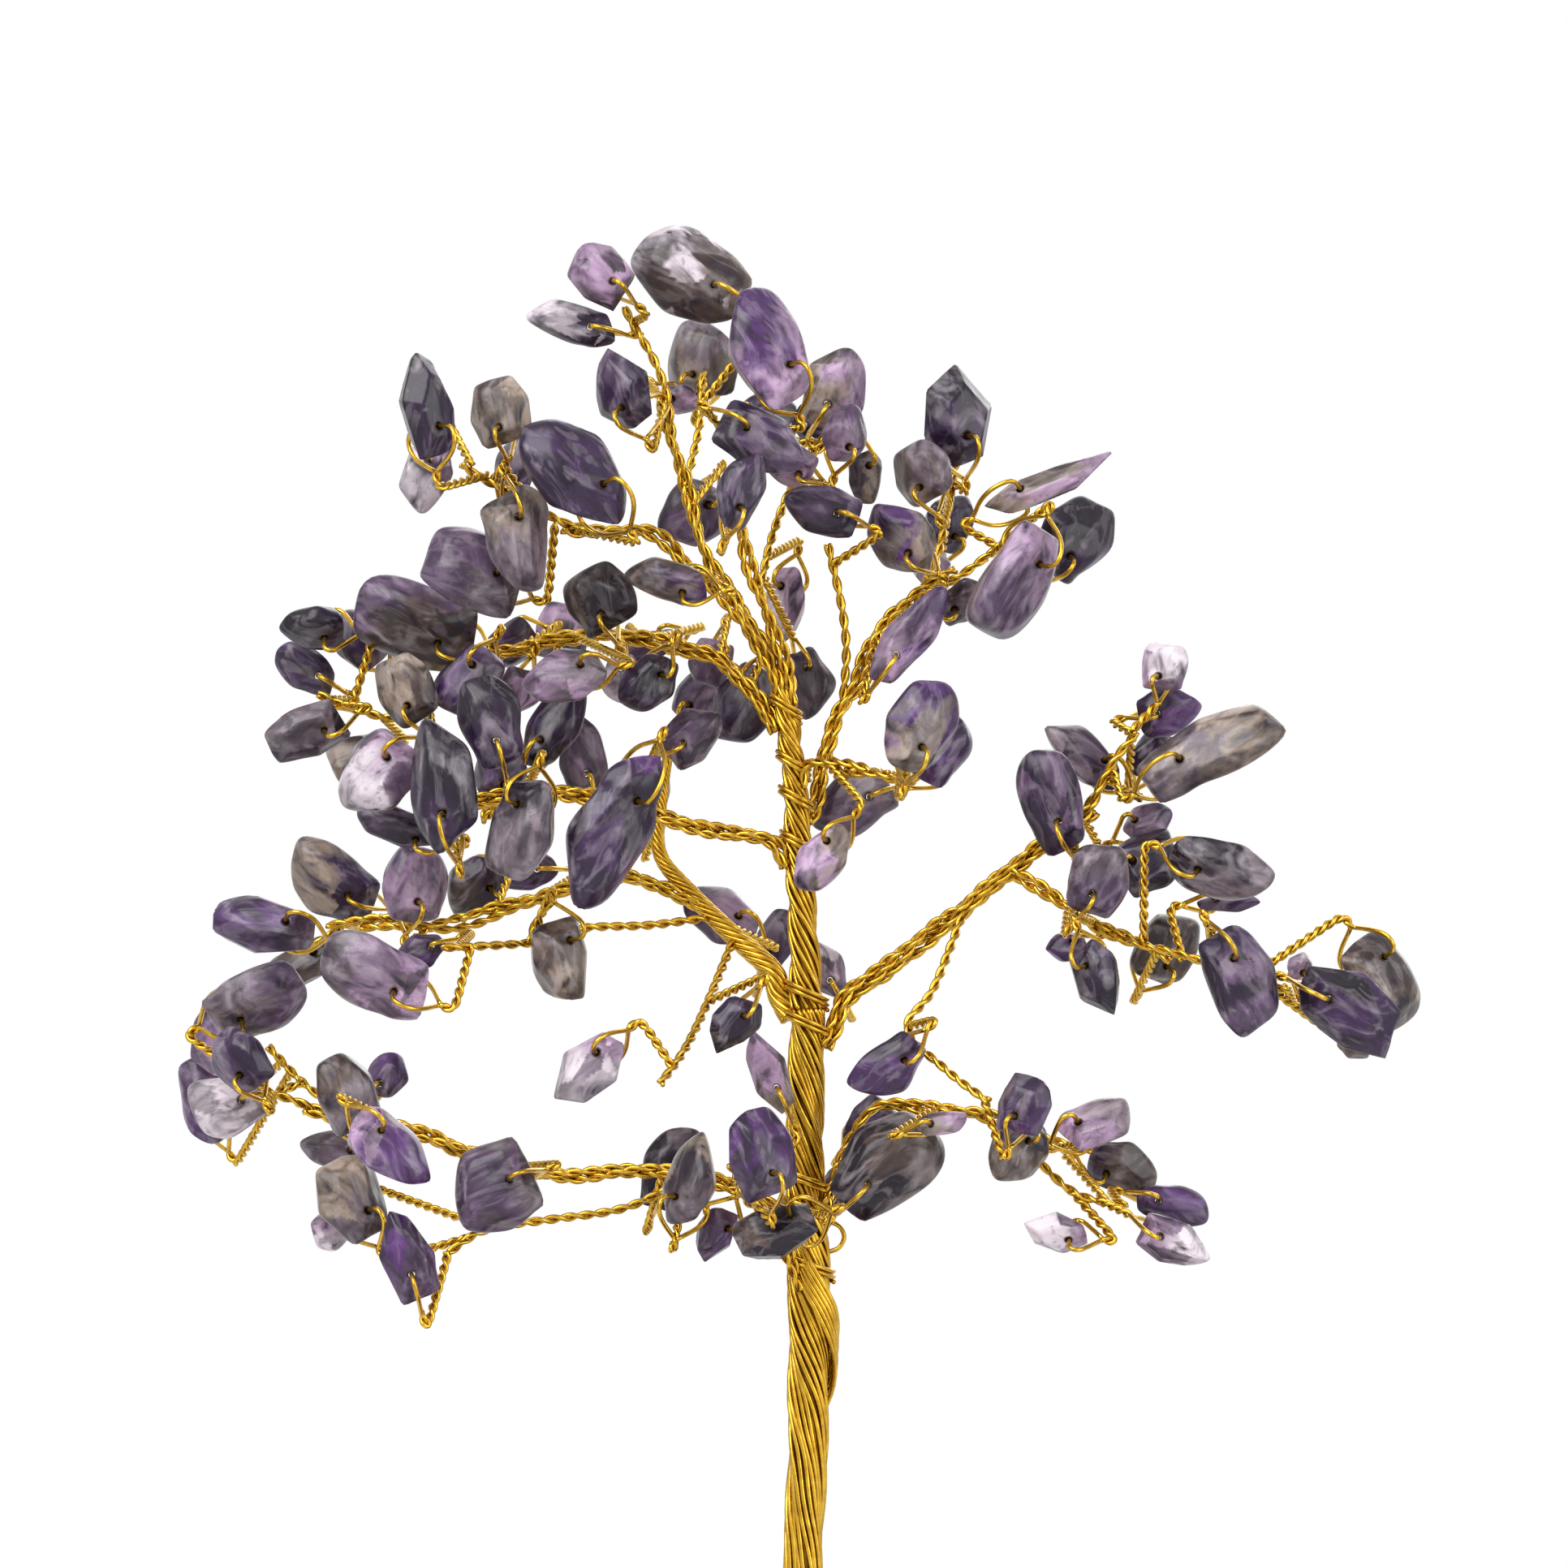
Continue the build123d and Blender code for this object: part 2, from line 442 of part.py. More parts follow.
def limb_paths():
    """Middle lines of all limbs, worked out from the root outwards."""
    paths = {}
    for name, limb in LIMBS.items():
        flat = np.array([spot(x_px, y_px) for x_px, y_px in limb.route_px])
        start = 0.0
        if limb.parent != "trunk":
            place, _ = nearest_on(paths[limb.parent], flat[0])
            start = place[1]
        lengths = np.concatenate([[0], np.cumsum(np.linalg.norm(np.diff(flat, axis=0), axis=1))])
        flat[:, 1] = start + (limb.reach_share * BRANCH_REACH - start) * lengths / lengths[-1]
        if limb.parent != "trunk":
            flat[0] = place
        elif limb.branch != "trunk":
            out = flat[1] - trunk_middle(flat[0][2])
            out = unit(np.array([out[0], out[1], 0]))
            stand = wrap_radius(flat[0][2]) + WIRE_RADIUS + WRAP_PLAY / 2
            flat[0] = trunk_middle(flat[0][2]) + out * stand
        paths[name] = flat
    return paths


def nearest_on(path, point):
    """Nearest place on a path in the front view, and its length along the path there."""
    best = None
    done = 0.0
    for a, b in zip(path, path[1:]):
        run = b - a
        flat_run = run * (1, 0, 1)
        share = np.clip(np.dot((point - a) * (1, 0, 1), flat_run) / np.dot(flat_run, flat_run), 0, 1)
        place = a + run * share
        miss = np.linalg.norm((point - place) * (1, 0, 1))
        if best is None or miss < best[0]:
            best = (miss, place, done + share * np.linalg.norm(run))
        done += np.linalg.norm(run)
    return best[1], best[2]


def along_path(path, length):
    """Place at a length along a path, kept on the path."""
    stops = np.concatenate([[0], np.cumsum(np.linalg.norm(np.diff(path, axis=0), axis=1))])
    return np.array([np.interp(length, stops, path[:, axis]) for axis in range(3)])


def path_length(path):
    """Whole length of a path."""
    return np.linalg.norm(np.diff(path, axis=0), axis=1).sum()


class Stone:
    """A chip with its own axes, its drilled hole, the wire folded through it and the twig's root."""

    def __init__(self, number, limb_name, chip, node):
        self.limb_name = limb_name
        self.branch = LIMBS[limb_name].branch
        self.node = node
        self.chip = chip
        self.long = chip.long_share * CHIP_SIZE
        self.wide = chip.wide_share * CHIP_SIZE
        self.thick = self.wide * THICK_SHARE
        self.middle = spot(chip.x_px, chip.y_px)
        self.roll = ROLLS[number % len(ROLLS)]
        self.root = None
        self.axis = None

    def take_root(self, place, depth):
        """Set the twig's root and turn the drilled end towards it."""
        lean = math.radians(self.chip.lean)
        axis = np.array([math.cos(lean), 0, math.sin(lean)])
        if np.dot(axis, self.middle - place) < 0:
            axis = -axis
        self.root = place
        self.axis = axis
        self.middle[1] = depth

    def frame(self):
        """Long axis, axis across and drilled axis."""
        across = unit(np.cross(self.axis, BACK))
        drilled = BACK * math.cos(self.roll) + across * math.sin(self.roll)
        return self.axis, np.cross(drilled, self.axis), drilled

    def neck(self):
        """Where the two legs of the wire meet in front of the drilled end."""
        return self.middle - self.axis * (self.long / 2 + LOOP_REACH)

    def twig_path(self):
        """Middle line of the twig from its root to the neck."""
        neck = self.neck()
        run = unit(neck - self.root)
        if math.acos(np.clip(np.dot(run, self.axis), -1, 1)) < BEND_LIMIT:
            return [self.root, neck]
        return [self.root, neck - self.axis * TWIG_STUB, neck]

    def samples(self, count):
        """Points along the stone's spine and its reach round that spine."""
        reach = max(self.wide, self.thick) / 2
        half = max(self.long / 2 - reach, 0)
        return [self.middle + self.axis * half * share for share in np.linspace(-1, 1, count)], reach

    def solid(self):
        """The drilled chip."""
        along, across, drilled = self.frame()
        outline = OUTLINE_SHARES[self.chip.outline]
        rings = []
        for share, height, shift in ((FLOOR_SHARE, -0.5, -CAP_SHIFT_SHARE), (1, -GIRDLE_SHARE, 0),
                                     (ROOF_SHARE, 0.5, CAP_SHIFT_SHARE)):
            ring = [self.middle + along * (u * share + shift) * self.long / 2
                    + across * (v * share - shift) * self.wide / 2 + drilled * height * self.thick
                    for u, v in outline]
            rings.append(np.array(ring))
        body = ringed_solid(rings)
        mouth = self.middle - along * HOLE_SHARE * self.long / 2
        drill = []
        for side in (-1, 1):
            corners = [mouth + drilled * side * self.thick + (along * a + across * b) * HOLE_WIDTH / 2
                       for a, b in ((-1, -1), (1, -1), (1, 1), (-1, 1))]
            drill.append(np.array(corners))
        return body - ringed_solid(drill)

    def wire(self):
        """One wire up the twig, through the hole and back down beside itself."""
        along, across, drilled = self.frame()
        path = self.twig_path()
        run = unit(path[1] - path[0])
        spread = np.cross(run, along)
        spread = drilled - run * np.dot(run, drilled) if np.linalg.norm(spread) < SIDE_LIMIT else spread
        spread = unit(spread)
        if np.dot(spread, drilled) < 0:
            spread = -spread
        mouth = self.middle - along * HOLE_SHARE * self.long / 2
        neck = self.neck()
        to_hole = np.dot(mouth - neck, along)
        to_shoulder = to_hole - (ROOF_SHARE + CAP_SHIFT_SHARE - HOLE_SHARE) * self.long / 2
        shoulder = self.thick / 2 + WIRE_DIAMETER + LOOP_PLAY
        stand = max(shoulder * to_hole / max(to_shoulder, LOOP_REACH), shoulder)
        up_leg = [place + spread * LEG_OFFSET for place in path]
        down_leg = [place - spread * LEG_OFFSET for place in reversed(path)]
        loop = [mouth + drilled * stand, mouth - drilled * stand]
        points = up_leg + loop + down_leg
        return tube(points, [WIRE_RADIUS] * len(points), WIRE_SIDES)


def gather_stones(paths):
    """All chips with their roots spaced along the limbs."""
    stones = []
    for limb_name, chips in CHIPS.items():
        for chip in chips:
            stones.append(Stone(len(stones), limb_name, chip, LIMBS[limb_name].branch + "_chips"))
    for node, (limb_name, chip) in SWIVELS.items():
        stones.append(Stone(len(stones), limb_name, chip, node))
    for limb_name, path in paths.items():
        mine = [stone for stone in stones if stone.limb_name == limb_name]
        wanted = []
        for stone in mine:
            place, length = nearest_on(path, stone.middle)
            miss = np.linalg.norm((stone.middle - place) * (1, 0, 1))
            wanted.append(max(length - miss / 2, ROOT_STEP * 2))
        order = np.argsort(wanted)
        last = path_length(path) - ROOT_STEP / 2
        room = [min(wanted[k], last - ROOT_STEP * (len(order) - 1 - rank)) for rank, k in enumerate(order)]
        for rank in range(1, len(room)):
            room[rank] = max(room[rank], room[rank - 1] + ROOT_STEP)
        for rank, k in enumerate(order):
            place = along_path(path, room[rank])
            mine[k].take_root(place, place[1] + mine[k].chip.layer * LAYER_DEPTH)
    return stones


def spread_in_depth(stones, paths):
    """Move the chips forward and back, never sideways, until each has room when its branch swings."""
    limb_points = []
    limb_branches = []
    limb_reach = []
    for name, path in paths.items():
        count = int(path_length(path) / LIMB_DIAMETER) + 2
        for length in np.linspace(0, path_length(path), count):
            limb_points.append(along_path(path, length))
            limb_branches.append(LIMBS[name].branch)
            limb_reach.append(LIMB_DIAMETER / 2)
    for height in np.arange(level(FOOT_PX), ROUTE_LEVELS[-1], LIMB_DIAMETER):
        limb_points.append(trunk_middle(height))
        limb_branches.append("trunk")
        limb_reach.append(wrap_radius(height) + WIRE_RADIUS)
    limb_points = np.array(limb_points)
    limb_reach = np.array(limb_reach)
    branches = np.array([stone.branch for stone in stones])
    limb_other = branches[:, None] != np.array(limb_branches)[None]
    other = branches[:, None] != branches[None]
    spines = np.array([stone.samples(SPINE_POINTS)[0] for stone in stones])
    reach = np.array([stone.samples(SPINE_POINTS)[1] for stone in stones])
    flat = spines[:, :, [0, 2]]
    gaps = flat[:, None, :, None] - flat[None, :, None, :]
    apart = np.sqrt((gaps ** 2).sum(-1)).min((2, 3))
    limb_flat = limb_points[:, [0, 2]]
    limb_apart = np.sqrt(((flat[:, None] - limb_flat[None, :, None]) ** 2).sum(-1)).min(2)
    depth = np.array([stone.middle[1] for stone in stones])
    sideways = np.array([stone.middle[0] for stone in stones])
    roots = np.array([stone.root for stone in stones])
    necks = np.array([stone.neck() for stone in stones])
    shares = np.linspace(TWIG_CLEAR_SHARE, 1, SPINE_POINTS)
    steps = shares[None, :, None]
    twig_flat = roots[:, None, [0, 2]] * (1 - steps) + necks[:, None, [0, 2]] * steps
    twig_apart = np.sqrt(((flat[:, None, :, None] - twig_flat[None, :, None]) ** 2).sum(-1)).min(2)
    own = np.eye(len(stones), dtype=bool)
    later = np.where(np.arange(len(stones))[:, None] > np.arange(len(stones)), 1, -1)
    for _ in range(SPREAD_ROUNDS):
        swing = np.hypot(sideways, depth) * BRANCH_SWING
        need = reach[:, None] + reach[None] + CHIP_GAP
        need = need + other * np.maximum(swing[:, None], swing[None])
        want = np.sqrt(np.maximum(need ** 2 - apart ** 2, 0))
        gap = depth[:, None] - depth[None]
        side = np.where(gap == 0, later, np.sign(gap))
        short = np.maximum(want - abs(gap), 0)
        short[own] = 0
        push = (short * side).sum(1) * CHIP_PUSH_SHARE
        limb_need = reach[:, None] + limb_reach[None] + CHIP_GAP + limb_other * swing[:, None]
        limb_want = np.sqrt(np.maximum(limb_need ** 2 - limb_apart ** 2, 0))
        limb_gap = depth[:, None] - limb_points[None, :, 1]
        limb_short = np.maximum(limb_want - abs(limb_gap), 0)
        worst = limb_short.argmax(1)
        rows = np.arange(len(depth))
        push = push + limb_short[rows, worst] * np.where(limb_gap[rows, worst] < 0, -1, 1) * LIMB_PUSH_SHARE
        twig_depth = roots[:, None, 1] * (1 - shares) + depth[:, None] * shares
        twig_need = reach[:, None, None] + TWIG_RADIUS + CHIP_GAP / 2 + (other * swing[:, None])[:, :, None]
        twig_want = np.sqrt(np.maximum(twig_need ** 2 - twig_apart ** 2, 0))
        twig_gap = depth[:, None, None] - twig_depth[None]
        twig_short = np.maximum(twig_want - abs(twig_gap), 0)
        twig_short[own] = 0
        twig_push = twig_short * np.where(twig_gap < 0, -1, 1)
        push = push + twig_push.sum((1, 2)) * TWIG_PUSH_SHARE
        push = push - (twig_push * shares).sum((0, 2)) * TWIG_BACK_SHARE
        depth = np.clip(depth + push, roots[:, 1] - TWIG_DEPTH, roots[:, 1] + TWIG_DEPTH)
        if abs(push).max() < CHIP_GAP * SETTLED_SHARE:
            break
    for stone, place in zip(stones, depth):
        stone.middle[1] = place
    return short.max(), limb_short.max(), twig_short.max()


def seated(piece, supports):
    """The piece cut back to the faces of the pieces that it meets."""
    box = piece.bounding_box()
    for support in supports:
        other = support.bounding_box()
        if all(a_low < b_high and b_low < a_high for a_low, a_high, b_low, b_high in zip(
                box.min, box.max, other.min, other.max)):
            rest = piece - support
            piece = max(rest.solids(), key=lambda solid: solid.volume)
    return piece


def limb_solids(paths):
    """The limbs, each side limb cut back to the limb that it grows from."""
    solids = {}
    for name, path in paths.items():
        limb = LIMBS[name]
        girth = limb.girth_share * LIMB_DIAMETER / 2
        radii = np.linspace(girth, TWIG_RADIUS, len(path))
        normal = None
        if limb.parent == "trunk" and limb.branch != "trunk":
            out = path[0] - trunk_middle(path[0][2])
            normal = unit(out * (1, 1, 0))
        elif limb.parent == "trunk":
            normal = UP
        solid = tube(path, radii, LIMB_SIDES, normal)
        near = [other for key, other in solids.items() if LIMBS[key].branch == limb.branch]
        solids[name] = seated(solid, near)
    return solids


def base_disc():
    """The turned base with the socket for the trunk."""
    disc = Cylinder(BASE_DIAMETER / 2, BASE_THICKNESS, align=(Align.CENTER, Align.CENTER, Align.MIN))
    rim = disc.edges().filter_by(GeomType.CIRCLE)
    disc = chamfer(rim, BASE_CHAMFER)
    hole = trunk_radius(0) + SOCKET_PLAY
    socket = Cylinder(hole, SOCKET_DEPTH, align=(Align.CENTER, Align.CENTER, Align.MAX))
    return disc - Pos(0, 0, BASE_THICKNESS) * socket


def trunk_eye():
    """The small ring of wire on the trunk's right side."""
    middle = spot(*EYE_PX)
    path = []
    for k in range(EYE_STEPS + 1):
        angle = math.pi + 2 * math.pi * (k + 0.25) / (EYE_STEPS + 0.5)
        out = np.array([math.cos(angle), 0, math.sin(angle)])
        path.append(middle + out * (EYE_DIAMETER / 2 - WIRE_RADIUS))
    return tube(path, [WIRE_RADIUS] * len(path), WIRE_SIDES)


def main():
    """Build every node and write it out."""
    nodes = {}
    split = level(STRAND_SPLIT_PX)
    foot = BASE_THICKNESS - SOCKET_DEPTH
    top = ROUTE_LEVELS[-1]
    nodes["base"] = [base_disc()]
    nodes["trunk_core"] = [trunk_core(foot, top)]
    nodes["trunk_strands_lower"] = strand_layer(
        foot, split, LOWER_STRANDS, LOWER_RINGS, (LAY_PITCH, LAY_PITCH / 2 + UPPER_LAY_PITCH / 2))
    nodes["trunk_strands_upper"] = strand_layer(
        split, top, UPPER_STRANDS, UPPER_RINGS, (UPPER_LAY_PITCH, UPPER_LAY_PITCH))
    nodes["trunk_eye"] = [trunk_eye()]

    paths = limb_paths()
    limbs = limb_solids(paths)
    for name, limb in LIMBS.items():
        holder = home_of(name)
        group = nodes.setdefault(holder + "_limbs", [])
        if limb.parent == "trunk" and limb.branch != "trunk":
            group.append(wrap_coil(level(limb.route_px[0][1])))
        group.append(limbs[name])

    stones = gather_stones(paths)
    left_over = spread_in_depth(stones, paths)
    print("room still short, chips, limbs, twigs:", [round(float(value), 2) for value in left_over])
    wires = {}
    for stone in stones:
        holder = home_of(stone.limb_name)
        body = [limbs[key] for key in LIMBS if LIMBS[key].branch == stone.branch]
        wire = seated(stone.wire(), body + wires.get(stone.branch, []))
        wires.setdefault(stone.branch, []).append(wire)
        nodes.setdefault(holder + "_twigs", []).append(wire)
        node = stone.node if stone.node in SWIVELS else holder + "_chips"
        nodes.setdefault(node, []).append(stone.solid())

    os.makedirs("parts", exist_ok=True)
    for name, solids in nodes.items():
        shape = solids[0] if len(solids) == 1 else Compound(children=solids)
        export_step(shape, f"parts/{name}.step")
    print(len(nodes), "nodes,", sum(len(solids) for solids in nodes.values()), "solids")


def home_of(limb_name):
    """The main limb that a limb belongs to."""
    limb = LIMBS[limb_name]
    return limb_name if limb.parent == "trunk" else home_of(limb.parent)


if __name__ == "__main__":
    main()
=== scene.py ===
import json
import logging
import math
from dataclasses import dataclass, field
from enum import Enum

import bpy
import numpy as np
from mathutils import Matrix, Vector

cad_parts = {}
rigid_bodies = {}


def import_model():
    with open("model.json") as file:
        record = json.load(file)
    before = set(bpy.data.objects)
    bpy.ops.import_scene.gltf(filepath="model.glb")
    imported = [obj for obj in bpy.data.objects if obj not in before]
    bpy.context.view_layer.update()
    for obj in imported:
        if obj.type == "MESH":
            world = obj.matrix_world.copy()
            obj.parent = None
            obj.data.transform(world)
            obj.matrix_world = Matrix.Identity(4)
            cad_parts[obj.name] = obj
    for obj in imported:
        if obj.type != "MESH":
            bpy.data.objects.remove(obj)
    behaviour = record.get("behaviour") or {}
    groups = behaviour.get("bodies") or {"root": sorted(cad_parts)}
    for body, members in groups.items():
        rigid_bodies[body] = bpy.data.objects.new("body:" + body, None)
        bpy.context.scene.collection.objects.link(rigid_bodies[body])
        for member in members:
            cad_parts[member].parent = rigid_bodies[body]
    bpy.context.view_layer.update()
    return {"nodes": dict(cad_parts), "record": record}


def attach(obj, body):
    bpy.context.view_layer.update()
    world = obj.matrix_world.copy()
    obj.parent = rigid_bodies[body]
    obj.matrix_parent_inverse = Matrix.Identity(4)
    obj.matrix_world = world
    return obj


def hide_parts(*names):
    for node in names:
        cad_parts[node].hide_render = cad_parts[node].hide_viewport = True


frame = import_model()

NodeTree = bpy.types.NodeTree
Socket = bpy.types.NodeSocket

logging.basicConfig(level=logging.INFO, format="%(message)s")
LOG = logging.getLogger("gem_tree")

# Places in the front view's pixels, and how they lie in the frame. Lengths are in metres.
PIXEL = 0.0001
TRUNK_PX = 990
FOOT_PX = 1932
FOOT_LEVEL = 0.038

# Sizes and counts that more than one sub-assembly uses
WIRE_RADIUS = 0.0003
TWIG_RADIUS = 0.0006
LOOP_REACH = 0.0015
WIRE_SIDES = 7
LIMB_STATIONS = 150
SPLINE_STEPS = 24
BEND_STEPS = 12
BEND_SHARE = 0.45
FAR_SHARE = 0.02
MERGE = 0.000001
STEEP = 0.9

# The shared effect of fine wear
WEAR_DETAIL = 4.0
WEAR_ROUGHNESS = 0.6
WEAR_RANGE = (0.35, 0.65)

# Directions, and the parts of a direction that a view from the front or from above keeps
SIDEWAYS = np.array([1.0, 0.0, 0.0])
UP = np.array([0.0, 0.0, 1.0])
SIDE_GUIDE = np.array([0.35, -1.0, 0.2])
FRONT_VIEW = np.array([1.0, 0.0, 1.0])
TOP_VIEW = np.array([1.0, 1.0, 0.0])


class Tone(Enum):
    """Colours that the stones run between, as display red, green and blue from 0 to 255."""

    INK = (25, 15, 28)
    DEEP = (48, 29, 59)
    VIVID = (70, 41, 87)
    MID = (80, 61, 86)
    LILAC = (154, 126, 155)
    GREY = (97, 84, 92)
    SMOKY = (130, 115, 103)
    BROWN = (78, 64, 57)
    CLEAR = (184, 173, 181)


TONE_LETTERS = {"i": Tone.INK, "d": Tone.DEEP, "v": Tone.VIVID, "m": Tone.MID, "l": Tone.LILAC,
                "g": Tone.GREY, "s": Tone.SMOKY, "b": Tone.BROWN, "c": Tone.CLEAR}

# Stones by the two tones that each runs between, with their middles in pixels
STONE_TONES = {
    "gl": ((740, 339), (690, 778), (697, 834)),
    "bc": ((850, 338),),
    "gs": ((1490, 925), (1067, 584), (435, 1475), (853, 1450)),
    "dc": ((704, 397),),
    "dg": ((1030, 1472), (377, 901)),
    "dm": ((768, 480), (1012, 628), (637, 572), (495, 1018), (1296, 985), (1522, 1204)),
    "sg": ((868, 438), (645, 668), (1137, 580)),
    "ll": ((838, 488), (640, 852)),
    "lv": ((945, 432), (487, 1412), (885, 1128), (1121, 782)),
    "sl": ((1030, 476), (947, 1318), (1012, 1056), (1158, 1380), (1297, 592)),
    "ss": ((620, 512),),
    "lm": ((1042, 533), (976, 572), (875, 815), (862, 860), (510, 1090), (262, 1285), (1252, 716),
           (1415, 1012)),
    "md": ((939, 548), (712, 586), (300, 1302), (440, 784)),
    "dd": ((913, 608), (1172, 640)),
    "gm": ((855, 632), (586, 705), (714, 930), (798, 794), (612, 1460), (1050, 990), (318, 1232)),
    "di": ((945, 510), (1000, 515), (531, 504), (383, 771), (610, 890), (550, 966), (904, 1260),
           (1180, 508), (1328, 658), (1425, 932), (1413, 1062), (1350, 1204)),
    "lc": ((966, 742), (527, 588), (806, 985), (762, 834), (408, 1512), (727, 1315), (1150, 695),
           (1434, 822), (1600, 1190), (1443, 1526), (1298, 1512), (470, 955), (1015, 1196)),
    "bm": ((512, 768),),
    "gd": ((372, 823), (918, 868), (998, 840)),
    "bs": ((434, 936), (502, 850), (691, 1180), (1437, 1167), (1700, 1208), (1252, 1416)),
    "mv": ((580, 840), (640, 1072), (625, 790), (320, 1142), (476, 1326), (506, 1539), (938, 1415),
           (880, 1520), (1512, 1110), (1315, 1168), (520, 1172)),
    "vd": ((618, 950), (1158, 923), (1258, 1356)),
    "id": ((685, 893), (800, 842), (1655, 1239)),
    "ig": ((648, 1020), (825, 1440), (1188, 738), (1501, 1070)),
    "dv": ((757, 1020), (1093, 1312), (1072, 1388), (1442, 875), (1443, 1483)),
    "vb": ((822, 717),),
    "mg": ((855, 905), (1336, 930), (1350, 1082)),
    "ds": ((405, 1088),),
    "db": ((580, 1096), (1383, 1438)),
    "lg": ((468, 1198), (412, 1420), (1348, 1382)),
    "vm": ((245, 1360), (956, 1160)),
    "cc": ((282, 1362),),
    "gb": ((430, 1345),),
    "ib": ((955, 1512), (741, 738), (360, 1195), (1090, 1433)),
    "sv": ((1132, 895), (1110, 660)),
    "sb": ((1665, 1286),),
}


@dataclass(frozen=True)
class LimbRoute:
    """One bundle of wires: its branch, its parent, how far it reaches back, its girth and its route."""

    branch: str
    parent: str
    reach_share: float
    girth_share: float
    route_px: tuple


LIMBS = {
    "low_left": LimbRoute("low_left", "trunk", -0.25, 0.95, (
        (985, 1490), (900, 1462), (800, 1440), (690, 1448),
        (590, 1425), (500, 1390), (400, 1372), (335, 1345))),
    "low_left_under": LimbRoute("low_left", "low_left", -0.55, 0.70, (
        (850, 1452), (770, 1487), (680, 1500), (600, 1512), (550, 1543))),
    "low_left_up": LimbRoute("low_left", "low_left", 0.10, 0.65, (
        (430, 1374), (370, 1330), (330, 1290))),
    "low_right": LimbRoute("low_right", "trunk", -0.35, 0.85, (
        (998, 1455), (1040, 1425), (1075, 1368), (1130, 1362), (1215, 1375), (1300, 1400), (1345, 1412))),
    "low_right_under": LimbRoute("low_right", "low_right", -0.60, 0.65, (
        (1240, 1382), (1290, 1440), (1330, 1470), (1385, 1480))),
    "low_front": LimbRoute("low_front", "trunk", -0.75, 0.75, (
        (990, 1560), (955, 1500), (915, 1462), (905, 1425))),
    "mid_left": LimbRoute("mid_left", "trunk", 0.35, 1.70, (
        (993, 1225), (950, 1195), (900, 1150), (850, 1100), (812, 1050), (815, 980), (826, 910))),
    "mid_left_spray": LimbRoute("mid_left", "mid_left", 0.30, 0.95, (
        (862, 1112), (780, 1082), (700, 1095), (620, 1120), (540, 1143), (470, 1137), (400, 1140))),
    "mid_left_thin": LimbRoute("mid_left", "mid_left", -0.70, 0.70, (
        (880, 1130), (800, 1140), (720, 1143), (660, 1160), (550, 1166))),
    "mid_left_drop": LimbRoute("mid_left", "mid_left", -0.95, 0.65, (
        (905, 1155), (872, 1235), (845, 1290), (816, 1330))),
    "inner_left": LimbRoute("inner_left", "trunk", -0.45, 1.00, (
        (984, 1040), (930, 1030), (880, 1025), (815, 1008),
        (740, 985), (660, 975), (590, 985), (530, 990))),
    "upper_left": LimbRoute("upper_left", "trunk", 0.45, 1.05, (
        (968, 872), (915, 840), (870, 806), (780, 786), (700, 785), (610, 805), (530, 815), (460, 825))),
    "upper_left_far": LimbRoute("upper_left", "upper_left", 0.20, 0.65, (
        (560, 811), (500, 880), (440, 875), (390, 855))),
    "left_top": LimbRoute("trunk", "trunk", -0.55, 0.85, (
        (955, 842), (943, 808), (890, 735), (850, 700), (800, 658), (700, 652), (630, 605), (575, 572))),
    "top_leader": LimbRoute("trunk", "trunk", 0.10, 0.90, (
        (964, 842), (957, 818), (930, 775), (880, 700), (848, 610),
        (828, 545), (815, 480), (800, 430), (775, 375))),
    "top_leader_fork": LimbRoute("trunk", "top_leader", 0.55, 0.65, (
        (845, 600), (862, 520), (866, 455))),
    "top_centre": LimbRoute("trunk", "trunk", -0.35, 0.85, (
        (973, 842), (967, 812), (950, 765), (925, 700), (915, 630), (915, 500))),
    "top_centre_back": LimbRoute("trunk", "top_centre", 0.55, 0.65, (
        (935, 728), (955, 650), (985, 580), (1020, 530))),
    "right_leader": LimbRoute("right_leader", "trunk", 0.55, 0.95, (
        (982, 985), (1030, 885), (1052, 845), (1078, 790), (1112, 748), (1185, 702), (1270, 660))),
    "right_leader_thin": LimbRoute("right_leader", "right_leader", 0.15, 0.65, (
        (1038, 870), (1043, 800), (1036, 740), (1020, 670))),
    "right_leader_up": LimbRoute("right_leader", "right_leader", 0.80, 0.65, (
        (1145, 727), (1165, 650), (1180, 570))),
    "right_small": LimbRoute("right_small", "trunk", -0.55, 0.75, (
        (981, 942), (1040, 945), (1098, 958), (1120, 945))),
    "right_big": LimbRoute("right_big", "trunk", -0.10, 1.15, (
        (996, 1262), (1045, 1225), (1100, 1188), (1160, 1140),
        (1230, 1085), (1300, 1030), (1350, 992), (1395, 900))),
    "right_big_far": LimbRoute("right_big", "right_big", -0.55, 0.80, (
        (1245, 1073), (1310, 1112), (1370, 1150), (1480, 1190), (1585, 1215))),
    "right_big_drop": LimbRoute("right_big", "right_big", -1.00, 0.65, (
        (1190, 1116), (1150, 1215), (1117, 1265), (1165, 1315), (1215, 1352))),
}


def unit(vectors: np.ndarray) -> np.ndarray:
    """Scale vectors, held along the last axis, to length one."""
    return vectors / np.linalg.norm(vectors, axis=-1, keepdims=True)


def linear(display: tuple) -> np.ndarray:
    """Turn a display colour from 0 to 255 into linear light from 0 to 1, by the sRGB curve."""
    share = np.asarray(display, float) / 255
    return np.where(share < 0.04045, share / 12.92, ((share + 0.055) / 1.055) ** 2.4)


def level(y_px: float) -> float:
    """Height in the frame, in metres, of a row of the front view."""
    return FOOT_LEVEL + (FOOT_PX - y_px) * PIXEL


def spot(x_px: float, y_px: float) -> np.ndarray:
    """Place on the trunk's plane, in metres, of a column and a row of the front view."""
    return np.array([(x_px - TRUNK_PX) * PIXEL, 0.0, level(y_px)])


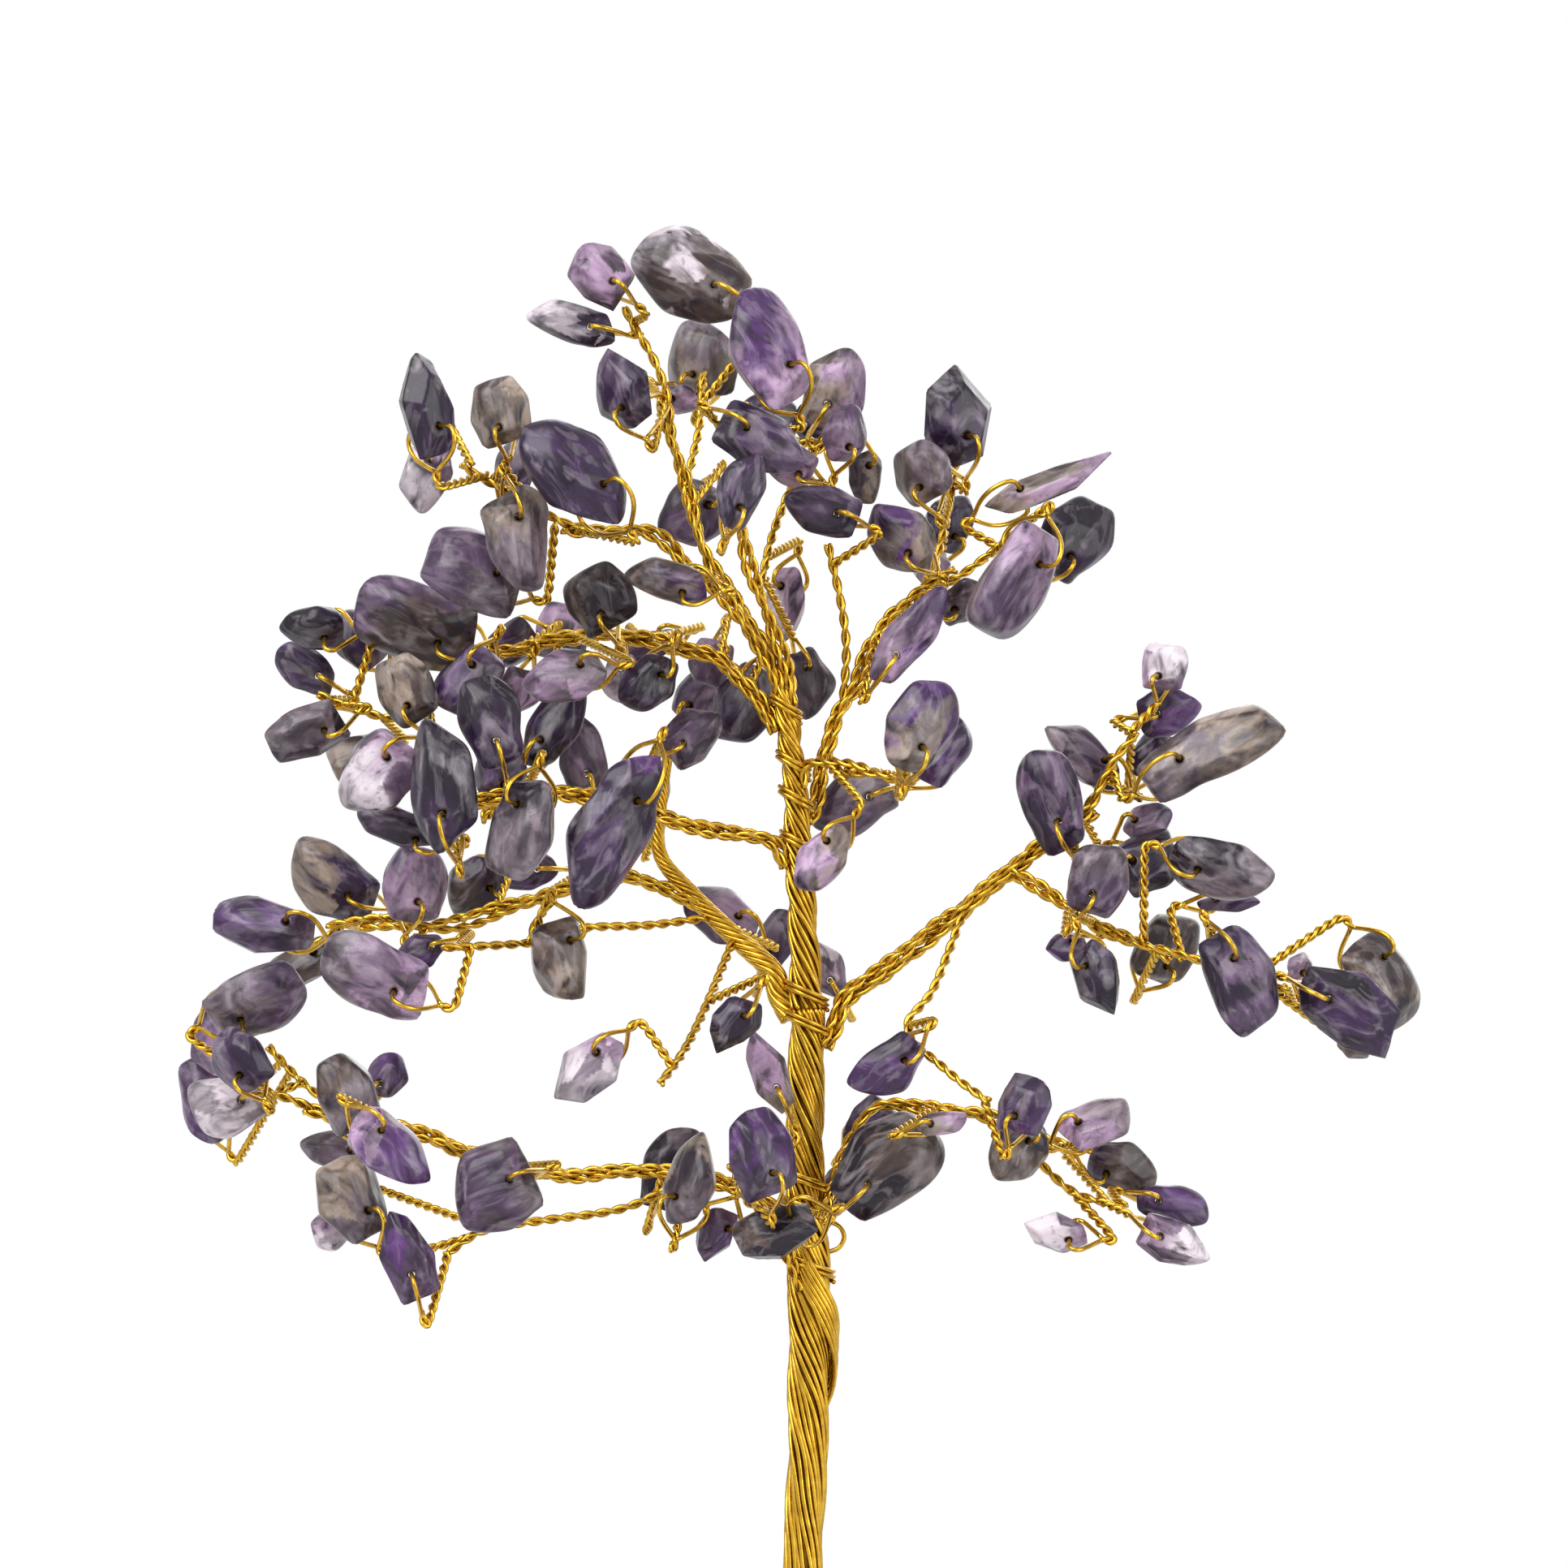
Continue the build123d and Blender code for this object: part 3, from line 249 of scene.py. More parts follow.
def round_about(angles: np.ndarray) -> np.ndarray:
    """Level directions (cos(a), sin(a), 0) at angles in radians."""
    return np.stack([np.cos(angles), np.sin(angles), np.zeros_like(angles)], -1)


def run_of(path: np.ndarray) -> np.ndarray:
    """Length run at each point of a path, from zero."""
    return np.concatenate([[0], np.cumsum(np.linalg.norm(np.diff(path, axis=0), axis=1))])


def evenly(path: np.ndarray, count: int) -> np.ndarray:
    """Space points evenly along a path.

    Args:
        path: points by row.
        count: points wanted.
    Returns:
        The new points by row.
    """
    run = run_of(path)
    wanted = np.linspace(0, run[-1], count)
    return np.stack([np.interp(wanted, run, path[:, k]) for k in range(3)], -1)


def spline(points: np.ndarray, count: int) -> np.ndarray:
    """A smooth curve through points, evenly spaced.

    Each stretch is the cubic whose slopes at its ends are half the step between the neighbours.

    Args:
        points: points by row.
        count: points wanted.
    Returns:
        The curve's points by row.
    """
    ends = np.concatenate([[2 * points[0] - points[1]], points, [2 * points[-1] - points[-2]]])
    a, b, c, d = ends[:-3], ends[1:-2], ends[2:-1], ends[3:]
    t = np.linspace(0, 1, SPLINE_STEPS, endpoint=False)[:, None, None]
    square, cube = 2 * a - 5 * b + 4 * c - d, 3 * b - a - 3 * c + d
    fine = 0.5 * (2 * b + (c - a) * t + square * t ** 2 + cube * t ** 3)
    return evenly(np.concatenate([fine.transpose(1, 0, 2).reshape(-1, 3), points[-1:]]), count)


def rounded(corners: np.ndarray, bend: float, count: int) -> np.ndarray:
    """A path through corners whose inner corners are rounded by parabolas, evenly spaced.

    Args:
        corners: corner points by row.
        bend: how far before each corner the bend starts.
        count: points wanted.
    Returns:
        The path's points by row.
    """
    t = np.linspace(0, 1, BEND_STEPS)[:, None]
    parts = [corners[:1]]
    for before, corner, after in zip(corners, corners[1:], corners[2:]):
        back, on = before - corner, after - corner
        start = corner + back * min(bend / np.linalg.norm(back), BEND_SHARE)
        stop = corner + on * min(bend / np.linalg.norm(on), BEND_SHARE)
        parts.append(start * (1 - t) ** 2 + 2 * corner * t * (1 - t) + stop * t ** 2)
    parts.append(corners[-1:])
    return evenly(np.concatenate(parts), count)


def nearest_on(path: np.ndarray, point: np.ndarray) -> np.ndarray:
    """Nearest place on a path as seen in the front view.

    Args:
        path: points by row.
        point: the point.
    Returns:
        The place on the path.
    """
    runs = np.diff(path, axis=0)
    flat = runs * FRONT_VIEW
    shares = np.clip((((point - path[:-1]) * FRONT_VIEW) * flat).sum(1) / (flat ** 2).sum(1), 0, 1)
    places = path[:-1] + runs * shares[:, None]
    return places[np.linalg.norm((point - places) * FRONT_VIEW, axis=1).argmin()]


def carried_frame(path: np.ndarray, guide: np.ndarray) -> tuple:
    """Two directions square to a path, carried along it without twist.

    Args:
        path: points by row.
        guide: where the first direction points at the path's start, as near as it can.
    Returns:
        The first and the second direction by row.
    """
    ahead = unit(np.gradient(path, axis=0))
    n = np.empty_like(path)
    n[0] = unit(guide - ahead[0] * (guide @ ahead[0]))
    for k in range(1, len(path)):
        n[k] = unit(n[k - 1] - ahead[k] * (n[k - 1] @ ahead[k]))
    return n, np.cross(ahead, n)


def sweep(paths: np.ndarray, radii: np.ndarray, sides: int) -> tuple:
    """Carry a round section along many paths at once, without twisting it.

    Each point is path(s) + radius(s) * (cos(a) * first(s) + sin(a) * second(s)), where first and second are
    square to the path and are carried from station to station by the turn of the path.

    Args:
        paths: points by path and station.
        radii: radius by path and station.
        sides: points round the section.
    Returns:
        The points by row, and the faces as blocks of point numbers.
    """
    count, stations, _ = paths.shape
    ahead = unit(np.gradient(paths, axis=1))
    helper = np.where(abs(ahead[:, 0, 2:3]) > STEEP, SIDEWAYS[None], UP[None])
    first = np.empty_like(paths)
    first[:, 0] = unit(np.cross(ahead[:, 0], helper))
    for k in range(1, stations):
        carried = first[:, k - 1] - ahead[:, k] * (first[:, k - 1] * ahead[:, k]).sum(-1, keepdims=True)
        first[:, k] = unit(carried)
    second = np.cross(ahead, first)
    angles = np.arange(sides) * 2 * math.pi / sides
    rounds = first[:, :, None] * np.cos(angles)[:, None] + second[:, :, None] * np.sin(angles)[:, None]
    points = paths[:, :, None] + rounds * radii[:, :, None, None]
    numbers = np.arange(count * stations * sides).reshape(count, stations, sides)
    after = np.roll(numbers, -1, axis=2)
    quads = np.stack([numbers[:, :-1], after[:, :-1], after[:, 1:], numbers[:, 1:]], -1).reshape(-1, 4)
    caps = np.concatenate([numbers[:, 0, ::-1], numbers[:, -1]])
    return points.reshape(-1, 3), [quads, caps]


def islands(node: str) -> list:
    """Split a CAD node into its separate solids.

    Args:
        node: name of the node.
    Returns:
        For each solid, its points and its triangles.
    """
    mesh = frame["nodes"][node].data
    places = np.empty(len(mesh.vertices) * 3, np.float32)
    mesh.vertices.foreach_get("co", places)
    mesh.calc_loop_triangles()
    corners = np.empty(len(mesh.loop_triangles) * 3, np.int32)
    mesh.loop_triangles.foreach_get("vertices", corners)
    keys = np.round(places.reshape(-1, 3) / MERGE).astype(np.int64)
    unique, back = np.unique(keys, axis=0, return_inverse=True)
    points = unique * MERGE
    triangles = back.ravel()[corners].reshape(-1, 3)
    labels = np.arange(len(points))
    while True:
        lowest = labels.copy()
        np.minimum.at(lowest, triangles.ravel(), np.repeat(labels[triangles].min(1), 3))
        lowest = lowest[lowest]
        if (lowest == labels).all():
            break
        labels = lowest
    solids = []
    for label in np.unique(labels):
        mine = labels == label
        order = np.cumsum(mine) - 1
        solids.append((points[mine], order[triangles[mine[triangles[:, 0]]]]))
    return solids


def home_of(name: str) -> str:
    """The name of the main limb that a limb belongs to."""
    return name if LIMBS[name].parent == "trunk" else home_of(LIMBS[name].parent)


class Surface:
    """Points and faces of one piece, gathered from grids."""

    def __init__(self) -> None:
        """Start with nothing."""
        self.points: list = []
        self.faces: list = []
        self.extras: dict = {}
        self.total = 0

    def add(self, points: np.ndarray, faces: list, **extras: np.ndarray) -> None:
        """Add a batch of points with its faces.

        Args:
            points: points by row.
            faces: arrays of point numbers, one array per face size.
            extras: one row of values per point, by attribute name.
        """
        self.points.append(points)
        self.faces += [block + self.total for block in faces]
        for name, values in extras.items():
            self.extras.setdefault(name, []).append(values)
        self.total += len(points)

    def add_wires(self, paths: np.ndarray) -> None:
        """Add wires of the tree's one gauge along paths, by wire and station."""
        self.add(*sweep(paths, np.full(paths.shape[:2], WIRE_RADIUS), WIRE_SIDES))

    def piece(self, name: str, material: bpy.types.Material) -> bpy.types.Object:
        """Make the mesh object.

        Args:
            name: name of the object.
            material: its finish.
        Returns:
            The new object, at the origin.
        """
        mesh = bpy.data.meshes.new(name)
        points = np.concatenate(self.points)
        sizes = np.concatenate([np.full(len(block), block.shape[1]) for block in self.faces])
        loops = np.concatenate([block.ravel() for block in self.faces])
        starts = np.concatenate([[0], np.cumsum(sizes)[:-1]])
        mesh.vertices.add(len(points))
        mesh.vertices.foreach_set("co", points.astype(np.float32).ravel())
        mesh.loops.add(len(loops))
        mesh.loops.foreach_set("vertex_index", loops.astype(np.int32))
        mesh.polygons.add(len(sizes))
        mesh.polygons.foreach_set("loop_start", starts.astype(np.int32))
        mesh.polygons.foreach_set("use_smooth", np.ones(len(sizes), bool))
        mesh.update(calc_edges=True)
        for label, values in self.extras.items():
            table = np.concatenate(values).astype(np.float32)
            kind = "FLOAT" if table.ndim == 1 else "FLOAT_COLOR"
            layer = mesh.attributes.new(label, kind, "POINT")
            layer.data.foreach_set("value" if table.ndim == 1 else "color", table.ravel())
        mesh.validate()
        mesh.materials.append(material)
        obj = bpy.data.objects.new(name, mesh)
        bpy.context.scene.collection.objects.link(obj)
        return obj


@dataclass
class Rig:
    """The record's bodies, and how a piece is fixed to one of them."""

    home: dict = field(init=False)
    parents: dict = field(init=False)

    def __post_init__(self) -> None:
        """Read which body each node rides and which body each body hangs on."""
        behaviour = frame["record"]["behaviour"]
        self.home = {node: body for body, nodes in behaviour["bodies"].items() for node in nodes}
        self.parents = {joint["child"]: joint["parent"] for joint in behaviour["joints"]}

    def mount(self, obj: bpy.types.Object, body: str, node: str, slot: str) -> None:
        """Fix a piece to its body and hide its CAD node.

        Args:
            obj: the piece.
            body: name of the body it moves with.
            node: CAD node that it replaces.
            slot: not used.
        """
        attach(obj, body)
        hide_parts(node)
        LOG.info("%s: %d points on %s", obj.name, len(obj.data.vertices), body)


def new_material(name: str) -> tuple:
    """Start a node material.

    Args:
        name: its name.
    Returns:
        The material, its node tree and its Principled shader.
    """
    material = bpy.data.materials.new(name)
    material.use_nodes = True
    tree = material.node_tree
    return material, tree, tree.nodes["Principled BSDF"]


def add_node(tree: NodeTree, kind: str, **values: object) -> bpy.types.Node:
    """Add a shader node and set its properties and inputs.

    Args:
        tree: the node tree.
        kind: the node's type name.
        values: properties by name, or inputs by name with spaces as underscores.
    Returns:
        The node.
    """
    node = tree.nodes.new(kind)
    for key, value in values.items():
        if hasattr(node, key):
            setattr(node, key, value)
        else:
            node.inputs[key.replace("_", " ")].default_value = value
    return node


def mapped(tree: NodeTree, value: Socket, source: tuple, target: tuple) -> Socket:
    """Map a value from one range to another, held to the range's ends.

    Args:
        tree: the node tree.
        value: socket of the value.
        source: the range it is read in.
        target: the range it is given in.
    Returns:
        The mapped value's socket.
    """
    node = add_node(tree, "ShaderNodeMapRange", From_Min=source[0], From_Max=source[1],
                    To_Min=target[0], To_Max=target[1])
    tree.links.new(value, node.inputs["Value"])
    return node.outputs["Result"]


def joined(tree: NodeTree, operation: str, first: Socket, second: Socket) -> Socket:
    """Work out one value from two.

    Args:
        tree: the node tree.
        operation: name of the sum.
        first: socket of the first value.
        second: socket of the second value.
    Returns:
        The result's socket.
    """
    node = add_node(tree, "ShaderNodeMath", operation=operation)
    tree.links.new(first, node.inputs[0])
    tree.links.new(second, node.inputs[1])
    return node.outputs[0]


def stretched(tree: NodeTree, place: Socket, scale: tuple) -> Socket:
    """Stretch the place that a pattern is read at.

    Args:
        tree: the node tree.
        place: socket of the place.
        scale: factors by axis.
    Returns:
        The stretched place's socket.
    """
    node = add_node(tree, "ShaderNodeMapping")
    node.inputs["Scale"].default_value = scale
    tree.links.new(place, node.inputs["Vector"])
    return node.outputs["Vector"]


def clouds(tree: NodeTree, place: Socket, scale: float, detail: float,
           distortion: float) -> Socket:
    """A cloudy pattern.

    Args:
        tree: the node tree.
        place: socket of the place.
        scale: how fine it is.
        detail: layers of finer clouds.
        distortion: how far it is pulled about.
    Returns:
        The pattern's socket.
    """
    node = add_node(tree, "ShaderNodeTexNoise", Scale=scale, Detail=detail, Distortion=distortion)
    tree.links.new(place, node.inputs["Vector"])
    return node.outputs["Fac"]


def mix_colours(tree: NodeTree, share: object, first: object, second: object) -> Socket:
    """Mix two colours.

    Args:
        tree: the node tree.
        share: socket or number for the second colour's part.
        first: socket or colour.
        second: socket or colour.
    Returns:
        The mixed colour's socket.
    """
    node = add_node(tree, "ShaderNodeMix", data_type="RGBA")
    for value, socket in ((share, node.inputs[0]), (first, node.inputs[6]), (second, node.inputs[7])):
        if isinstance(value, Socket):
            tree.links.new(value, socket)
        else:
            socket.default_value = value if isinstance(value, float) else (*value, 1.0)
    return node.outputs[2]


def wear_group() -> NodeTree:
    """A shared effect: a fine mask of wear from a place in space.

    Returns:
        The node group, with a place and a scale in and a mask out.
    """
    group = bpy.data.node_groups.new("fine_wear", "ShaderNodeTree")
    group.interface.new_socket("Place", in_out="INPUT", socket_type="NodeSocketVector")
    group.interface.new_socket("Scale", in_out="INPUT", socket_type="NodeSocketFloat")
    group.interface.new_socket("Mask", in_out="OUTPUT", socket_type="NodeSocketFloat")
    start = group.nodes.new("NodeGroupInput")
    stop = group.nodes.new("NodeGroupOutput")
    noise = add_node(group, "ShaderNodeTexNoise", Detail=WEAR_DETAIL, Roughness=WEAR_ROUGHNESS)
    group.links.new(start.outputs["Place"], noise.inputs["Vector"])
    group.links.new(start.outputs["Scale"], noise.inputs["Scale"])
    group.links.new(mapped(group, noise.outputs["Fac"], WEAR_RANGE, (0.0, 1.0)), stop.inputs["Mask"])
    return group


WEAR = wear_group()


def wear_mask(tree: NodeTree, place: Socket, scale: float) -> Socket:
    """Use the shared wear mask in a material.

    Args:
        tree: the material's node tree.
        place: socket that gives the place.
        scale: size of the grain.
    Returns:
        The mask's socket.
    """
    group = tree.nodes.new("ShaderNodeGroup")
    group.node_tree = WEAR
    group.inputs["Scale"].default_value = scale
    tree.links.new(place, group.inputs["Place"])
    return group.outputs["Mask"]


@dataclass(frozen=True)
class GoldFinish:
    """Bright drawn wire with a gold colour and fine wear."""

    bright: tuple = (0.62, 0.378, 0.040)
    shade: tuple = (0.40, 0.222, 0.020)
    roughness: float = 0.20
    wear_roughness: float = 0.14
    wear_scale: float = 600.0

    def material(self, name: str) -> bpy.types.Material:
        """Make the wire's finish.

        Args:
            name: the material's name.
        Returns:
            The material.
        """
        material, tree, shader = new_material(name)
        place = add_node(tree, "ShaderNodeTexCoord").outputs["Object"]
        mask = wear_mask(tree, place, self.wear_scale)
        tree.links.new(mix_colours(tree, mask, self.bright, self.shade), shader.inputs["Base Color"])
        rough = mapped(tree, mask, (0.0, 1.0), (self.roughness, self.roughness + self.wear_roughness))
        tree.links.new(rough, shader.inputs["Roughness"])
        shader.inputs["Metallic"].default_value = 1.0
        return material


@dataclass(frozen=True)
class QuartzFinish:
    """Polished quartz: clouds between two tones, pale veils, streaks, dark specks, painted facet light and
    a soft shine.
    """

    roughness: float = 0.30
    specular: float = 0.18
    transmission: float = 0.20
    ior: float = 1.54
    coat: float = 0.08
    coat_roughness: float = 0.12
    veil: tuple = (0.64, 0.57, 0.63)
    hollow: tuple = (0.014, 0.008, 0.020)
    speck: tuple = (0.03, 0.025, 0.04)
    stretch: tuple = (0.55, 1.0, 1.0)
    cloud_scale: float = 210.0
    cloud_detail: tuple = (6.0, 0.8)
    cloud_gain: float = 1.6
    cloud_start: float = -0.8
    band_range: tuple = (0.36, 0.64)
    # Per face, a shift between the two tones (the stone's own tone) and a gain in brightness (painted facet
    # light, for the shine off each face)
    facet_shift: float = 0.30
    painted_facet_light_gain: tuple = (0.36, 1.70)
    veil_scale: float = 330.0
    veil_detail: tuple = (8.0, 1.4)
    hollow_range: tuple = (0.30, 0.52)
    hollow_share: float = 0.94
    wisp_range: tuple = (0.53, 0.72)
    wisp_share: float = 0.62
    pale_share: float = 0.5
    streak_scale: float = 330.0
    streak_detail: tuple = (5.0, 2.2)
    streak_share: float = 0.20
    streak_stretch: tuple = (0.30, 1.0, 0.6)
    pale_streak_range: tuple = (0.54, 0.62)
    dark_streak_range: tuple = (0.38, 0.46)
    speck_scale: float = 900.0
    speck_range: tuple = (0.80, 1.0)
    speck_share: float = 0.35
    flute_scale: float = 260.0
    flute_detail: tuple = (1.5, 1.6)
    flute_strength: float = 0.25
    flute_depth: float = 0.0008

    def material(self, name: str) -> bpy.types.Material:
        """Make the stones' finish, between each stone's own two tones.

        Args:
            name: the material's name.
        Returns:
            The material.
        """
        material, tree, shader = new_material(name)
        inside = add_node(tree, "ShaderNodeAttribute", attribute_name="inside").outputs["Vector"]
        grain = stretched(tree, inside, self.stretch)
        veiled = self.veiled(tree, grain, self.body(tree, grain))
        streaked = self.streaked(tree, inside, *veiled)
        place = add_node(tree, "ShaderNodeTexCoord").outputs["Object"]
        specks = wear_mask(tree, place, self.speck_scale)
        pit = mapped(tree, specks, self.speck_range, (0.0, self.speck_share))
        tree.links.new(mix_colours(tree, pit, streaked, self.speck), shader.inputs["Base Color"])
        bump = add_node(tree, "ShaderNodeBump", Strength=self.flute_strength, Distance=self.flute_depth)
        flutes = clouds(tree, grain, self.flute_scale, *self.flute_detail)
        tree.links.new(flutes, bump.inputs["Height"])
        tree.links.new(bump.outputs["Normal"], shader.inputs["Normal"])
        shader.inputs["Roughness"].default_value = self.roughness
        shader.inputs["IOR"].default_value = self.ior
        shader.inputs["Specular IOR Level"].default_value = self.specular
        shader.inputs["Transmission Weight"].default_value = self.transmission
        shader.inputs["Coat Weight"].default_value = self.coat
        shader.inputs["Coat Roughness"].default_value = self.coat_roughness
        return material

    def body(self, tree: NodeTree, grain: Socket) -> Socket:
        """The stone's colour between its two tones, lighter or darker by face: partly its own tone, partly
        painted facet light.

        Args:
            tree: the material's node tree.
            grain: socket of the place inside the stone.
        Returns:
            The colour's socket.
        """
        first = add_node(tree, "ShaderNodeAttribute", attribute_name="tint_first").outputs["Color"]
        second = add_node(tree, "ShaderNodeAttribute", attribute_name="tint_second").outputs["Color"]
        zone = add_node(tree, "ShaderNodeAttribute", attribute_name="zone").outputs["Fac"]
        facet = add_node(tree, "ShaderNodeAttribute", attribute_name="facet").outputs["Fac"]
        drift = add_node(tree, "ShaderNodeMath", operation="MULTIPLY_ADD")
        tree.links.new(clouds(tree, grain, self.cloud_scale, *self.cloud_detail), drift.inputs[0])
        drift.inputs[1].default_value = self.cloud_gain
        drift.inputs[2].default_value = self.cloud_start
        blend = joined(tree, "ADD", zone, drift.outputs[0])
        shift = mapped(tree, facet, (0.0, 1.0), (-self.facet_shift, self.facet_shift))
        band = mapped(tree, joined(tree, "ADD", blend, shift), self.band_range, (0.0, 1.0))
        scaled = add_node(tree, "ShaderNodeVectorMath", operation="SCALE")
        tree.links.new(mix_colours(tree, band, first, second), scaled.inputs[0])
        # Painted facet light: each face brighter or darker as if it caught more or less shine
        tree.links.new(mapped(tree, facet, (0.0, 1.0), self.painted_facet_light_gain), scaled.inputs["Scale"])
        return scaled.outputs[0]

    def veiled(self, tree: NodeTree, grain: Socket, body: Socket) -> tuple:
        """Add dark hollows and pale veils.

        Args:
            tree: the material's node tree.
            grain: socket of the place inside the stone.
            body: socket of the stone's colour.
        Returns:
            Sockets of the veiled colour and of the pale colour.
        """
        veil = clouds(tree, grain, self.veil_scale, *self.veil_detail)
        depth = mapped(tree, veil, self.hollow_range, (self.hollow_share, 0.0))
        wisp = mapped(tree, veil, self.wisp_range, (0.0, self.wisp_share))
        deepened = mix_colours(tree, depth, body, self.hollow)
        pale = mix_colours(tree, self.pale_share, body, self.veil)
        return mix_colours(tree, wisp, deepened, pale), pale

    def streaked(self, tree: NodeTree, inside: Socket, veiled: Socket,
                 pale: Socket) -> Socket:
        """Add fine pale and dark streaks along the stone.

        Args:
            tree: the material's node tree.
            inside: socket of the place in the stone's own axes.
            veiled: socket of the colour so far.
            pale: socket of the pale colour.
        Returns:
            The streaked colour's socket.
        """
        drawn = stretched(tree, inside, self.streak_stretch)
        streak = clouds(tree, drawn, self.streak_scale, *self.streak_detail)
        thin = mapped(tree, streak, self.pale_streak_range, (0.0, self.streak_share))
        dim = mapped(tree, streak, self.dark_streak_range, (self.streak_share, 0.0))
        return mix_colours(tree, dim, mix_colours(tree, thin, veiled, pale), self.hollow)


@dataclass(frozen=True)
class WoodFinish:
    """Satin turned wood."""

    light: tuple = (0.150, 0.062, 0.024)
    dark: tuple = (0.040, 0.014, 0.005)
    roughness: float = 0.45
    specular: float = 0.18
    ring_scale: float = 90.0
    grain_scale: float = 360.0
    grain_stretch: tuple = (0.12, 1.0, 1.0)
    grain_detail: tuple = (6.0, 0.4)
    grain_range: tuple = (0.35, 0.65)
    calm_share: float = 0.5

    def material(self, name: str) -> bpy.types.Material:
        """Make the base's finish.

        Args:
            name: the material's name.
        Returns:
            The material.
        """
        material, tree, shader = new_material(name)
        place = add_node(tree, "ShaderNodeTexCoord").outputs["Object"]
        drawn = stretched(tree, place, self.grain_stretch)
        fibres = clouds(tree, drawn, self.grain_scale, *self.grain_detail)
        grain = mapped(tree, fibres, self.grain_range, (0.0, 1.0))
        lines = mix_colours(tree, grain, self.light, self.dark)
        calm = mix_colours(tree, self.calm_share, lines, self.light)
        mask = wear_mask(tree, drawn, self.ring_scale)
        tree.links.new(mix_colours(tree, mask, lines, calm), shader.inputs["Base Color"])
        shader.inputs["Roughness"].default_value = self.roughness
        shader.inputs["Specular IOR Level"].default_value = self.specular
        return material


GOLD = GoldFinish()
# A darker copy of the gold for the trunk's stem: painted shade that shows in the gaps between the outer
# wires
PAINTED_SHADE_GOLD = GoldFinish(bright=(0.19, 0.092, 0.008), shade=(0.12, 0.055, 0.005), roughness=0.42)
QUARTZ = QuartzFinish()
WOOD = WoodFinish()


@dataclass(frozen=True)
class StoneCut:
    """Counts, shares and limits that shape every stone after its flat CAD faces."""

    round_points: int = 72
    rows: int = 40
    crowd_share: float = 0.55
    hole_radius: float = 0.00035
    hole_rows: int = 3
    hole_depth_share: float = 0.92
    hole_width_share: float = 0.95
    # Share of colour kept on the hole's mouth and walls: painted shade inside the drilled hole
    hole_shade: float = 0.12
    softness: float = 17.0
    extra_facets: int = 12
    facet_depth_shares: tuple = (0.70, 0.94)
    lumps: int = 4
    lump_share: float = 0.032
    lump_turns: tuple = (2.0, 4.5)
    ripples: int = 7
    ripple_share: float = 0.006
    ripple_turns: tuple = (5.0, 10.0)
    plump_shares: tuple = (1.0, 1.16, 1.08)
    lean_share: float = 0.5
    snug_nodes: tuple = ("chip_", "low_front_chips")
    roomy_node: str = "chip_front_black"
    room: float = 0.00045
    flat_limit: float = 0.00002
    wall_limit: float = 0.001
    wall_share: float = 0.05
    near_points: int = 6
    plane_step: int = 10
    plane_digits: int = 3
    seed_step: int = 7


CUT = StoneCut()


@dataclass(frozen=True)
class StoneForm:
    """The faces and waves that shape one stone, as seen from its drilled hole."""

    normals: np.ndarray
    depths: np.ndarray
    lumps: np.ndarray
    lump_phases: np.ndarray
    ripples: np.ndarray
    ripple_phases: np.ndarray
    lights: np.ndarray

    def meet(self, directions: np.ndarray) -> np.ndarray:
        """One over the distance to each face along each direction, and zero for the faces behind."""
        return np.maximum(directions @ self.normals.T, 0) / self.depths

    def reach(self, directions: np.ndarray) -> np.ndarray:
        """Distance from the hole's middle to the stone's skin.

        It is (sum of (n.u / d) ** p) ** (-1 / p) over the faces that the direction u meets, with normal n
        and distance d: a soft form of the nearest face. A few sines of the direction add lumps and ripples.

        Args:
            directions: unit vectors.
        Returns:
            The distance along each, in metres.
        """
        lump = CUT.lump_share * np.sin(directions @ self.lumps.T + self.lump_phases).sum(-1)
        ripple = CUT.ripple_share * np.sin(directions @ self.ripples.T + self.ripple_phases).sum(-1)
        soft = (self.meet(directions) ** CUT.softness).sum(-1) ** (-1 / CUT.softness)
        return soft * (1 + lump + ripple)

    def light(self, directions: np.ndarray) -> np.ndarray:
        """How light, from 0 to 1, the face is that each direction meets first: painted facet light, and a
        shift of the stone's own tone.
        """
        return self.lights[self.meet(directions).argmax(-1)]


